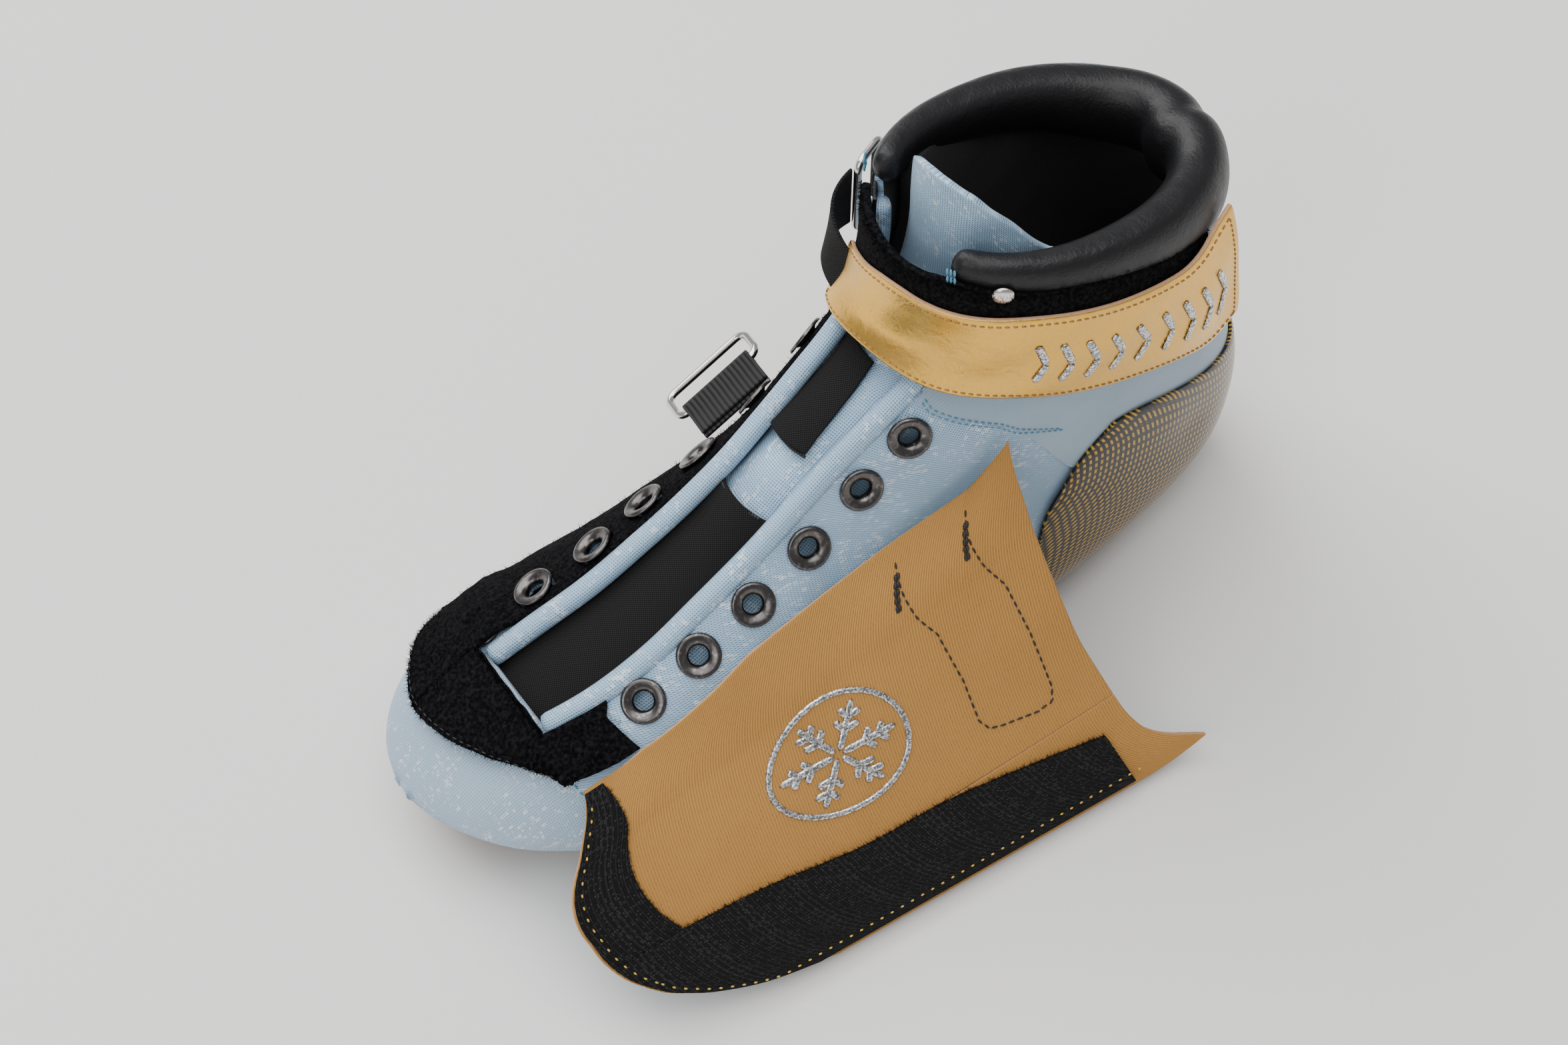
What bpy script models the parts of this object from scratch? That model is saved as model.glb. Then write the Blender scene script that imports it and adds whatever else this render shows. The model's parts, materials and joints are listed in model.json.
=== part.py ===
"""Left speed skating boot: carbon shell, padded upper, lace eyelets, ankle strap and a lace cover
that is folded open over the outer side. Metres, +X to the toe, +Y to the outer side, +Z up.
The origin is on the floor, under the front mounting block."""
import math

import bmesh
import bpy
import numpy as np
from mathutils import Matrix, Vector

# Driving sizes
BOOT_LENGTH = 0.2835
BOOT_WIDTH = 0.095
COLLAR_HEIGHT = 0.160

# Walls, from the outside in, and the clearance kept between touching pieces
SHELL_WALL = 0.0022
UPPER_WALL = 0.0019
LINING_WALL = 0.0022
HEEL_PAD_WALL = 0.0052
BOARD_WALL = 0.0016
FOOTBED_WALL = 0.0032
TONGUE_WALL = 0.0026
WEBBING_WALL = 0.0011
PATCH_WALL = 0.0014
STRAP_WALL = 0.0015
COVER_WALL = 0.0020
TAPE_WALL = 0.0011
GAP = 0.0004
LAYER_GAP = 0.0008
FOOTBED_GAP = 0.0003
SHELL_GAP = 0.0009

# Eyelets, piping, rings and inserts
EYELET_RADIUS = 0.00635
EYELET_HOLE_RADIUS = 0.00275
EYELET_BARREL_RADIUS = 0.0034
EYELET_FLANGE = 0.0009
PIPING_RADIUS = 0.0034
PIPING_PROUD = -0.0006
RING_WIRE_RADIUS = 0.00117
RING_SLOT_WIDTH = 0.0270
RING_SLOT_HEIGHT = 0.0100
ANKLE_RING_SLOT_WIDTH = 0.0250
INSERT_RADIUS = 0.0045
INSERT_BORE_RADIUS = 0.0030
INSERT_INSET = 0.0003
INSERT_HEIGHT = 0.0035
FRONT_INSERT_SPREAD = 0.030
REAR_INSERT_SPREAD = 0.022
MOUNT_SPACING = 0.150
BLOCK_HEIGHT_LIMIT = 0.016
WEBBING_WIDTH = 0.0250

# Straps, their rings and the lace cover
EYELET_LIFT = 0.0009
PATCH_INNER_ANGLE = -78
PATCH_OUTER_ANGLE = 41
PATCH_REAR = (0.30, 0.22, 0.20)
PATCH_FRONT = (0.80, 0.835, 0.845, 0.80, 0.765)
PATCH_PAST_THROAT = 0.010
PATCH_SPLIT_ROW = 14
PATCH_CORNER_ROW = 13.2
PATCH_INNER_COLUMN = 10
PATCH_OUTER_COLUMN = 15
STRAP_BASE_CLEARANCE = 0.0005
STRAP_BASE_OUT = PIPING_PROUD + PIPING_RADIUS + STRAP_BASE_CLEARANCE + STRAP_WALL
STRAP_CLEARANCE = 0.0007
STRAP_OUT = STRAP_BASE_OUT + STRAP_WALL + STRAP_CLEARANCE
STRAP_FLARE = 0.0060
STRAP_FLARE_START = 118
STRAP_ROOT_ANGLE = -26
STRAP_TIP_ANGLE = 140
STRAP_TOP = ((-26, 0.085), (9, 0.036), (75, 0.040), (114, 0.062), (140, 0.075))
STRAP_FOOT = ((-26, 0.215), (7, 0.197), (44, 0.178), (87, 0.158), (140, 0.172))
LOOP_CLEARANCE = 0.0004
ANKLE_RING_SEAT = (0.085, -56, 0.0085)
INSTEP_TAB_SEAT = (0.440, -41, 0.0056)
INSTEP_RING_TILT = -38
INSTEP_RING_REACH = 0.0190
COVER_FRONT_WIDTH = 0.0660
COVER_REAR_WIDTH = 0.0960
COVER_BULGE = 0.019
COVER_START = 0.055
COVER_FOLD = 0.71
FOLD_GAP = 0.012
HEM_HEIGHT = 0.0042
STRAP_PLACE = (0.755, 0.945)

# Padded collar and tongue
COLLAR_FRONT_OUTER = 24
COLLAR_FRONT_INNER = 34
COLLAR_HALF_WIDTH_FRONT = 0.0035
COLLAR_HALF_WIDTH_BACK = 0.0075
COLLAR_HALF_HEIGHT_FRONT = 0.0050
COLLAR_HALF_HEIGHT_BACK = 0.0115
COLLAR_RISE_FRONT = 0.0095
COLLAR_RISE_BACK = 0.0065
COLLAR_PROUD = 0.0018
TONGUE_DEPTH = 0.0062
TONGUE_FOLD = 0.20
TONGUE_TIP = -0.07
TONGUE_LEAN = 0.0032

# Cross-sections of the boot, fanned from the collar round the ankle to the toe. Each row gives, in
# hundredths of the boot's length, width or height: front x, front z, back x, back z, outer and
# inner half-width, centre y, then the height share of the widest point and the squareness of the
# curve above and below it.
SECTIONS = (
    (41.3, 100.0, 7.8, 95.0, 36.8, 37.9, -1.0, 0.50, 2.2, 2.2),
    (41.3, 90.6, 6.2, 80.0, 37.9, 37.9, -1.0, 0.50, 2.2, 2.2),
    (42.3, 82.5, 4.5, 65.0, 37.9, 37.9, -1.0, 0.50, 2.2, 2.2),
    (44.8, 76.9, 2.8, 50.0, 37.9, 37.9, -1.0, 0.50, 2.2, 2.2),
    (48.0, 73.1, 1.1, 35.6, 37.4, 37.4, -1.0, 0.48, 2.2, 2.2),
    (51.9, 69.4, 0.9, 22.0, 36.8, 36.8, -1.0, 0.45, 2.2, 2.3),
    (56.1, 65.0, 2.8, 10.0, 36.3, 36.3, -1.0, 0.42, 2.2, 2.4),
    (60.7, 60.6, 9.5, 5.0, 36.8, 36.8, 0.0, 0.40, 2.2, 2.6),
    (65.6, 55.6, 21.2, 5.6, 41.0, 39.0, 0.0, 0.38, 2.2, 2.8),
    (70.9, 50.6, 37.0, 7.5, 45.3, 42.1, 0.0, 0.36, 2.2, 3.0),
    (76.5, 45.6, 52.9, 6.3, 49.5, 45.3, 0.0, 0.34, 2.2, 3.2),
    (82.2, 40.6, 68.8, 4.4, 50.5, 49.5, -1.0, 0.32, 2.2, 3.2),
    (87.5, 35.6, 81.1, 5.0, 46.3, 47.4, -3.2, 0.34, 2.2, 3.0),
    (92.4, 30.3, 90.0, 6.9, 37.9, 40.0, -6.3, 0.38, 2.2, 2.6),
    (96.3, 25.0, 95.3, 9.4, 27.4, 29.5, -8.4, 0.44, 2.2, 2.3),
    (98.9, 19.7, 98.4, 12.2, 14.7, 16.8, -10.5, 0.50, 2.1, 2.1),
    (100.0, 16.2, 100.0, 15.4, 3.0, 3.0, -11.6, 0.50, 2.0, 2.0),
)
FRONT_X, FRONT_Z, BACK_X, BACK_Z, OUTER, INNER, CENTRE, BELLY, ROUND_UP, ROUND_DOWN = range(10)
UNITS = np.array([BOOT_LENGTH, COLLAR_HEIGHT, BOOT_LENGTH, COLLAR_HEIGHT,
                  BOOT_WIDTH, BOOT_WIDTH, BOOT_WIDTH]) / 100
ORIGIN_X = 0.72 * BOOT_LENGTH

# Lace rows: place along the boot and angle round it, from the toe end to the ankle
OUTER_EYELETS = ((0.722, 29.5), (0.660, 29.8), (0.600, 31.5), (0.537, 33.5),
                 (0.465, 35.0), (0.380, 35.5), (0.288, 36.0))
INNER_EYELETS = ((0.735, -27.5), (0.672, -25.0), (0.606, -24.5), (0.545, -26.0),
                 (0.478, -29.0), (0.395, -32.5), (0.300, -36.0))
THROAT_END = 0.752
SHELL_TOP = 0.247
PIPING_TOP = 0.030
QUARTER_TOP_FRONT = 0.022
QUARTER_TOP_BACK = 0.066
OPENING_ANGLES = ((0.0, 24.0), (0.20, 23.0), (0.45, 23.0), (0.60, 20.5), (0.80, 16.0))
INNER_OPENING_ANGLES = ((0.0, 33.0), (0.20, 25.0), (0.35, 18.0), (0.50, 12.5), (0.62, 12.5), (0.80, 16.0))

COLOURS = {
    "blue": ((0.42, 0.58, 0.72), 0.45, 0.15), "black": ((0.015, 0.015, 0.017), 0.55, 0.0),
    "gold": ((0.80, 0.55, 0.22), 0.33, 0.75), "carbon": ((0.05, 0.05, 0.035), 0.22, 0.1),
    "tan": ((0.55, 0.36, 0.18), 0.9, 0.0), "nickel": ((0.72, 0.70, 0.66), 0.25, 1.0),
    "gunmetal": ((0.16, 0.15, 0.15), 0.32, 0.9), "aluminium": ((0.75, 0.76, 0.78), 0.35, 1.0),
    "foam": ((0.06, 0.06, 0.065), 0.8, 0.0), "board": ((0.30, 0.24, 0.17), 0.8, 0.0),
}

parts = bpy.data.collections.new("speed_skating_boot")
cutters = bpy.data.collections.new("cutters")


# The boot's surface

def section_at(along):
    """Section values at a place along the boot, 0 at the collar and 1 at the toe."""
    table = np.array(SECTIONS)
    table[:, :7] *= UNITS
    last = len(table) - 1
    place = np.clip(np.asarray(along, float), -0.2, 1.0) * last
    row = np.clip(np.floor(place), 0, last - 1).astype(int)
    t = (place - row)[..., None]
    before, here = table[np.maximum(row - 1, 0)], table[row]
    after, beyond = table[row + 1], table[np.minimum(row + 2, last)]
    curve = 0.5 * (2 * here + (after - before) * t
                   + (2 * before - 5 * here + 4 * after - beyond) * t ** 2
                   + (3 * here - before - 3 * after + beyond) * t ** 3)
    straight = here + (after - here) * t
    return np.where(t < 0, straight, curve)


def on_boot(along, angle):
    """Points on the boot: angle 0 is the front and top, 90 the outer side, 180 the back and sole."""
    along, angle = np.broadcast_arrays(np.asarray(along, float), np.radians(angle))
    values = section_at(along)
    up, side = np.cos(angle), np.sin(angle)
    power = 2 / np.where(up > 0, values[..., ROUND_UP], values[..., ROUND_DOWN])
    belly = values[..., BELLY]
    height = np.where(up > 0, belly + (1 - belly) * np.abs(up) ** power,
                      belly - belly * np.abs(up) ** power)
    half = np.where(side > 0, values[..., OUTER], -values[..., INNER])
    x = values[..., BACK_X] + (values[..., FRONT_X] - values[..., BACK_X]) * height
    z = values[..., BACK_Z] + (values[..., FRONT_Z] - values[..., BACK_Z]) * height
    y = values[..., CENTRE] + half * np.abs(side) ** power
    return np.stack([x - ORIGIN_X, y, z], -1)


def unit(vectors):
    return vectors / np.maximum(np.linalg.norm(vectors, axis=-1, keepdims=True), 1e-12)


def skin(along, angle, out=0.0):
    """Points on the boot, moved out along its surface normal."""
    step, turn = 0.004, 0.8
    along, angle = np.broadcast_arrays(np.asarray(along, float), np.asarray(angle, float))
    lengthwise = on_boot(np.minimum(along + step, 0.9999), angle) - on_boot(along - step, angle)
    around = on_boot(along, angle + turn) - on_boot(along, angle - turn)
    normal = unit(np.cross(lengthwise, around))
    return on_boot(along, angle) + normal * np.asarray(out, float)[..., None]


def seat(along, angle, out=0.0, spin=0.0):
    """A matrix on the boot's surface: Z outwards, X towards the toe, turned by spin about Z."""
    here = Vector(skin(along, angle, out))
    outwards = (Vector(skin(along, angle, out + 0.01)) - here).normalized()
    ahead = Vector(skin(along + 0.01, angle, out)) - here
    side = outwards.cross(ahead).normalized()
    turn = Matrix((side.cross(outwards), side, outwards)).transposed().to_4x4()
    return Matrix.Translation(here) @ turn @ Matrix.Rotation(math.radians(spin), 4, "Z")


def turn_for(along, angle, width):
    """Degrees round the boot that a width takes there."""
    around = on_boot(along, angle + 1.0) - on_boot(along, angle - 1.0)
    return 2 * width / np.linalg.norm(around, axis=-1)


def opening(along, outer=True):
    """Angle of the throat's edge at a place along the boot."""
    table = OPENING_ANGLES if outer else INNER_OPENING_ANGLES
    angle = np.interp(along, [row[0] for row in table], [row[1] for row in table])
    return angle if outer else -angle


# Making objects

def finish(piece, colour):
    """Gives a piece its material and collection."""
    material = bpy.data.materials.new(piece.name)
    material.use_nodes = True
    shader = material.node_tree.nodes["Principled BSDF"]
    rgb, roughness, metallic = COLOURS[colour]
    shader.inputs["Base Color"].default_value = (*rgb, 1)
    shader.inputs["Roughness"].default_value = roughness
    shader.inputs["Metallic"].default_value = metallic
    piece.data.materials.clear()
    piece.data.materials.append(material)
    if piece.name not in parts.objects:
        parts.objects.link(piece)
    return piece


def from_bmesh(name, shape, colour):
    mesh = bpy.data.meshes.new(name)
    shape.to_mesh(mesh)
    shape.free()
    mesh.shade_smooth()
    mesh.set_sharp_from_angle(angle=math.radians(35))
    return finish(bpy.data.objects.new(name, mesh), colour)


def thicken(piece, wall):
    """Turns an open surface into a wall that grows inwards."""
    solidify = piece.modifiers.new("wall", "SOLIDIFY")
    solidify.thickness = wall
    solidify.offset = -1
    return piece


def mapped_sheet(name, colour, rows, columns, place, wall, keep=None, turned_over=False):
    """A grid of rows and columns put in place by a function of two shares, 0 to 1, then thickened."""
    shape = bmesh.new()
    bmesh.ops.create_grid(shape, x_segments=rows, y_segments=columns, size=1)
    shares = [((v.co.x + 1) / 2, (v.co.y + 1) / 2) for v in shape.verts]
    if keep:
        hidden = [f for f in shape.faces
                  if not keep((f.calc_center_median().x + 1) / 2, (f.calc_center_median().y + 1) / 2)]
    first, second = np.array(shares).T
    for vertex, point in zip(shape.verts, place(first, second)):
        vertex.co = point
    if keep:
        bmesh.ops.delete(shape, geom=hidden, context="FACES")
        loose = [v for v in shape.verts if not v.link_faces]
        bmesh.ops.delete(shape, geom=loose, context="VERTS")
    if turned_over:
        bmesh.ops.reverse_faces(shape, faces=shape.faces)
    return thicken(from_bmesh(name, shape, colour), wall)


def boot_sheet(name, colour, rows, columns, along, angles, out, wall, keep=None):
    """A sheet that follows the boot between two places along it and two angles. Each may be a
    function: along of the share round, angles of the place along."""
    def place(first, second):
        start, end = (edge(second) if callable(edge) else edge for edge in along)
        place_along = start + (end - start) * first
        low, high = (edge(place_along) if callable(edge) else edge for edge in angles)
        angle = low + (high - low) * second
        height = out(place_along, angle) if callable(out) else out
        return skin(place_along, angle, height)
    return mapped_sheet(name, colour, rows, columns, place, wall, keep)


def wire(name, colour, points, radius, closed=False):
    """A round wire or piping along points, made a mesh with its end caps welded."""
    curve = bpy.data.curves.new(name, "CURVE")
    curve.dimensions = "3D"
    curve.bevel_depth = radius
    curve.bevel_resolution = 2
    curve.use_fill_caps = not closed
    spline = curve.splines.new("POLY")
    spline.points.add(len(points) - 1)
    for knot, point in zip(spline.points, points):
        knot.co = (*point, 1)
    spline.use_cyclic_u = closed
    return finish(bpy.data.objects.new(name, curve), colour)


def turned(name, colour, profile, steps):
    """A closed profile of radius and height, turned about Z by a Screw modifier."""
    mesh = bpy.data.meshes.new(name)
    points = [(radius, 0, height) for radius, height in profile]
    edges = [(i, (i + 1) % len(points)) for i in range(len(points))]
    mesh.from_pydata(points, edges, [])
    piece = finish(bpy.data.objects.new(name, mesh), colour)
    screw = piece.modifiers.new("turn", "SCREW")
    screw.steps = screw.render_steps = steps
    screw.use_merge_vertices = True
    screw.merge_threshold = 0.00005
    screw.use_smooth_shade = True
    return piece


def guide(piece):
    """Puts a cutter in its own collection, out of the render."""
    cutters.objects.link(piece)
    piece.hide_render = True
    piece.display_type = "WIRE"
    return piece


def cutter(name, shape):
    mesh = bpy.data.meshes.new(name)
    shape.to_mesh(mesh)
    shape.free()
    return guide(bpy.data.objects.new(name, mesh))


def cut(piece, tool):
    boolean = piece.modifiers.new("cut", "BOOLEAN")
    boolean.operation = "DIFFERENCE"
    boolean.solver = "EXACT"
    boolean.object = tool


def rounded_loop(width, height, corner, steps=4):
    """Points of a rectangle with round corners, in the XY plane round the origin."""
    points = []
    for turn, (x, y) in enumerate(((1, 1), (-1, 1), (-1, -1), (1, -1))):
        centre = Vector((x * (width / 2 - corner), y * (height / 2 - corner), 0))
        for i in range(steps + 1):
            angle = math.radians(90 * (turn + i / steps))
            points.append(centre + Vector((math.cos(angle), math.sin(angle), 0)) * corner)
    return points


def reset():
    for piece in list(bpy.data.objects):
        bpy.data.objects.remove(piece)
    for collection in (parts, cutters):
        bpy.context.scene.collection.children.link(collection)


# Shell, sole and mounting blocks

SHELL_OUT = SHELL_WALL + SHELL_GAP


def shell_edge(along, outer=True):
    """Angle of the shell's top edge: high round the heel, low along the waist, under at the toe."""
    outer_rows = ((SHELL_TOP, 92), (0.30, 85), (0.36, 82), (0.43, 84), (0.55, 103), (0.70, 112), (0.985, 116))
    inner_rows = ((SHELL_TOP, 92), (0.30, 84), (0.36, 80), (0.45, 79), (0.58, 98), (0.70, 110), (0.985, 116))
    rows = outer_rows if outer else inner_rows
    return np.interp(along, [row[0] for row in rows], [row[1] for row in rows])


def carbon_shell():
    boot_sheet("carbon_shell", "carbon", 20, 14, (SHELL_TOP, 0.985),
               (lambda a: shell_edge(a), lambda a: 360 - shell_edge(a, False)),
               SHELL_OUT, SHELL_WALL)


def sole_cutter():
    """A thick skin along the shell's underside, which trims the blocks' tops."""
    envelope = boot_sheet("sole_envelope", "carbon", 20, 12, (0.30, 0.98), (110, 250),
                          SHELL_OUT + GAP, BLOCK_HEIGHT_LIMIT)
    parts.objects.unlink(envelope)
    return guide(envelope)


def box(size, centre):
    shape = bmesh.new()
    bmesh.ops.create_cube(shape, size=1)
    bmesh.ops.scale(shape, vec=size, verts=shape.verts)
    bmesh.ops.translate(shape, vec=centre, verts=shape.verts)
    return shape


def drill(name, radius, centre, height):
    shape = bmesh.new()
    bmesh.ops.create_cone(shape, cap_ends=True, segments=16, radius1=radius, radius2=radius, depth=height)
    bmesh.ops.translate(shape, vec=centre, verts=shape.verts)
    return cutter(name, shape)


def mount_block(name, x, y, length, width, spread, envelope):
    """A flat-bottomed block under the shell, with two threaded inserts side by side."""
    shape = box((length, width, BLOCK_HEIGHT_LIMIT), (x, y, BLOCK_HEIGHT_LIMIT / 2))
    upright = [e for e in shape.edges if abs(e.verts[0].co.z - e.verts[1].co.z) > BLOCK_HEIGHT_LIMIT / 2]
    bmesh.ops.bevel(shape, geom=upright, offset=0.006, segments=3, profile=0.5, affect="EDGES", material=-1)
    block = from_bmesh(name, shape, "aluminium")
    cut(block, envelope)
    depth = 2 * BLOCK_HEIGHT_LIMIT
    for side in (-1, 1):
        centre = (x, y + side * spread / 2, 0)
        hole = drill(f"{name}_hole_{side + 2}", INSERT_RADIUS + GAP, centre, depth)
        cut(block, hole)
    profile = [(INSERT_BORE_RADIUS, INSERT_HEIGHT), (INSERT_RADIUS, INSERT_HEIGHT),
               (INSERT_RADIUS, INSERT_INSET), (INSERT_BORE_RADIUS, INSERT_INSET)]
    for number, side in enumerate((-1, 1), 1):
        insert = turned(name.replace("block", f"insert_{number}"), "nickel", profile, 16)
        insert.location = (x, y + side * spread / 2, 0)


def sole():
    envelope = sole_cutter()
    mount_block("front_mount_block", 0, 0, 0.062, 0.052, FRONT_INSERT_SPREAD, envelope)
    mount_block("rear_mount_block", -MOUNT_SPACING, 0, 0.046, 0.040, REAR_INSERT_SPREAD, envelope)
    boot_sheet("insole_board", "board", 12, 6, (0.47, 0.93), (131, 229), -GAP, BOARD_WALL)
    boot_sheet("footbed", "foam", 12, 8, (0.45, 0.93), (124, 236),
               -BOARD_WALL - GAP - LAYER_GAP - FOOTBED_GAP, FOOTBED_WALL)


# Upper

def quarter(name, outer):
    """One side of the upper, from the throat's edge down inside the shell."""
    side = 1 if outer else -1

    def upper_edge(along):
        edge = opening(along, outer)
        return edge + side * turn_for(along, edge, PIPING_RADIUS + LAYER_GAP + GAP / 2)

    def lower_edge(along):
        tuck = np.interp(along, (0.06, 0.24, 0.30, 0.45, 0.75), (176, 176, 165, 120, 124))
        return side * tuck

    def top(share):
        back = share if outer else 1 - share
        return QUARTER_TOP_FRONT + (QUARTER_TOP_BACK - QUARTER_TOP_FRONT) * back
    edges = (upper_edge, lower_edge) if outer else (lower_edge, upper_edge)
    piece = boot_sheet(name, "blue", 18, 8, (top, THROAT_END - 0.002), edges, 0.0, UPPER_WALL)
    row = OUTER_EYELETS if outer else INNER_EYELETS
    for number, (along, angle) in enumerate(row, 1):
        hole = drill(f"{name}_hole_{number}", EYELET_BARREL_RADIUS + GAP, (0, 0, 0), 0.010)
        hole.matrix_world = seat(along, angle)
        cut(piece, hole)
    return piece


def vamp():
    """The toe of the upper, closed round the tip."""
    boot_sheet("vamp", "blue", 11, 18, (THROAT_END + 0.002, 0.998), (-125, 125), 0.0, UPPER_WALL)
    boot_sheet("toe_puff", "board", 6, 12, (0.80, 0.975), (-100, 100), -UPPER_WALL - LAYER_GAP, 0.0012)


def lining():
    """Foam-backed lining inside each quarter, and the thick pad round the heel and ankle."""
    depth = UPPER_WALL + LAYER_GAP
    for name, outer in (("outer_lining", True), ("inner_lining", False)):
        side = 1 if outer else -1
        edges = (lambda a: side * (np.abs(opening(a, outer)) + 14), side * 100)
        edges = edges if outer else (edges[1], edges[0])
        boot_sheet(name, "foam", 11, 5, (0.34, THROAT_END - 0.01), edges, -depth, LINING_WALL)
    boot_sheet("heel_pad", "foam", 8, 14, (QUARTER_TOP_BACK + 0.012, 0.325), (75, 285),
               -depth - 2 * GAP, HEEL_PAD_WALL)


def piping():
    """The rolled edge along each side of the throat."""
    for name, outer in (("outer_piping", True), ("inner_piping", False)):
        along = np.linspace(PIPING_TOP, THROAT_END - 0.008, 20)
        points = skin(along, opening(along, outer), PIPING_PROUD)
        wire(name, "blue", points, PIPING_RADIUS)


def collar():
    """The padded roll round the top, thin at its two front ends and thick at the back."""
    turns = np.linspace(COLLAR_FRONT_OUTER, 360 - COLLAR_FRONT_INNER, 26)
    ring = 10
    shape = bmesh.new()
    loops = []
    for angle in turns:
        back = (1 - math.cos(math.radians(angle))) / 2
        half_width = COLLAR_HALF_WIDTH_FRONT + (COLLAR_HALF_WIDTH_BACK - COLLAR_HALF_WIDTH_FRONT) * back
        half_height = COLLAR_HALF_HEIGHT_FRONT + (COLLAR_HALF_HEIGHT_BACK - COLLAR_HALF_HEIGHT_FRONT) * back
        rim, below = Vector(skin(0.0, angle)), Vector(skin(0.04, angle))
        up = (rim - below).normalized()
        out = (Vector(skin(0.0, angle, 0.01)) - rim).normalized()
        rise = COLLAR_RISE_FRONT + (COLLAR_RISE_BACK - COLLAR_RISE_FRONT) * back
        middle = rim + up * (rise - half_height) + out * (COLLAR_PROUD - half_width)
        loop = []
        for i in range(ring):
            turn = math.tau * i / ring
            loop.append(shape.verts.new(middle + up * half_height * math.sin(turn)
                                        + out * half_width * math.cos(turn)))
        loops.append(loop)
    for here, after in zip(loops, loops[1:]):
        for i in range(ring):
            j = (i + 1) % ring
            shape.faces.new((here[i], after[i], after[j], here[j]))
    shape.faces.new(loops[0])
    shape.faces.new(reversed(loops[-1]))
    bmesh.ops.recalc_face_normals(shape, faces=shape.faces)
    from_bmesh("collar_pad", shape, "black")


# Tongue

def tongue():
    depth = -TONGUE_DEPTH
    boot_sheet("tongue", "blue", 16, 6, (TONGUE_FOLD + 0.004, THROAT_END + 0.03),
               (lambda a: -np.abs(opening(a, False)) - 9, lambda a: opening(a) + 9), depth, TONGUE_WALL)
    boot_sheet("tongue_top", "blue", 8, 8, (TONGUE_TIP, TONGUE_FOLD - 0.004), (-36, 60),
               lambda a, t: depth - TONGUE_LEAN * np.clip((TONGUE_FOLD - a) / TONGUE_FOLD, 0, 2),
               TONGUE_WALL)
    above = depth + WEBBING_WALL + LAYER_GAP

    def half_turn(along, share):
        values = section_at(along)
        return np.degrees(share * WEBBING_WIDTH / (values[..., OUTER] * 2.05))
    boot_sheet("tongue_webbing", "black", 10, 4, (0.465, THROAT_END + 0.022),
               (lambda a: 3 - half_turn(a, 0.9), lambda a: 3 + half_turn(a, 0.9)), above, WEBBING_WALL)
    boot_sheet("tongue_loop", "black", 5, 4, (0.245, 0.365),
               (lambda a: -4 - half_turn(a, 0.6), lambda a: -4 + half_turn(a, 0.6)), above, WEBBING_WALL)


# Loop patch round the throat

def patch_out(along):
    """Height of the patch's face: it rises over the eyelets that it hides at the toe end."""
    low = PATCH_WALL + LAYER_GAP
    return np.interp(along, (0.695, 0.715), (low, low + EYELET_LIFT + EYELET_FLANGE))


def loop_patch():
    """One napped sheet: down the inner quarter, round the throat's end and up to the outer first
    eyelet. Columns run round the boot, rows towards the toe."""
    rows, columns = 18, 20
    split = PATCH_SPLIT_ROW / rows
    inner_share, outer_share = PATCH_INNER_COLUMN / columns, PATCH_OUTER_COLUMN / columns

    def place(first, second):
        before = first < split
        reach = np.where(before, first / split, (first - split) / (1 - split))
        start = np.interp(second, (0, 0.6 * inner_share, inner_share), PATCH_REAR)
        middle_share = (inner_share + outer_share) / 2
        front = np.interp(second, (0, inner_share, middle_share, outer_share, 1), PATCH_FRONT)
        end = THROAT_END + PATCH_PAST_THROAT
        along = np.where(before, start + (end - start) * reach, end + (front - end) * reach)
        clear = turn_for(along, 20, PIPING_RADIUS + 2 * GAP)
        low, high = opening(along, False) - clear, opening(along) + clear
        inner_side = PATCH_INNER_ANGLE + (low - PATCH_INNER_ANGLE) * second / inner_share
        middle = low + (high - low) * (second - inner_share) / (outer_share - inner_share)
        outer_side = high + (PATCH_OUTER_ANGLE - high) * (second - outer_share) / (1 - outer_share)
        angle = np.where(second < inner_share, inner_side,
                         np.where(second < outer_share, middle, outer_side))
        return skin(along, angle, patch_out(along))

    def keep(first, second):
        corner = second > outer_share and first > PATCH_CORNER_ROW / rows
        return first > split or second < inner_share or corner
    patch = mapped_sheet("loop_patch", "black", rows, columns, place, PATCH_WALL, keep)
    for number, (along, angle) in enumerate(INNER_EYELETS[1:], 2):
        hole = drill(f"patch_hole_{number}", EYELET_BARREL_RADIUS + GAP, (0, 0, 0), 0.010)
        hole.matrix_world = seat(along, angle)
        cut(patch, hole)


def eyelets():
    for side, row in (("outer", OUTER_EYELETS), ("inner", INNER_EYELETS)):
        for number, (along, angle) in enumerate(row, 1):
            on_patch = side == "inner" and number > 1
            lift = patch_out(along) + EYELET_LIFT if on_patch else EYELET_LIFT
            profile = [(EYELET_HOLE_RADIUS, lift + EYELET_FLANGE),
                       (EYELET_RADIUS - 0.001, lift + EYELET_FLANGE),
                       (EYELET_RADIUS, lift), (EYELET_BARREL_RADIUS, lift),
                       (EYELET_BARREL_RADIUS, -UPPER_WALL), (EYELET_HOLE_RADIUS, -UPPER_WALL)]
            eyelet = turned(f"{side}_eyelet_{number}", "gunmetal", profile, 10)
            eyelet.matrix_world = seat(along, angle)


# Ankle strap: base strap, ring with its tab, and the closing strap on the ring's front bar

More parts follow.
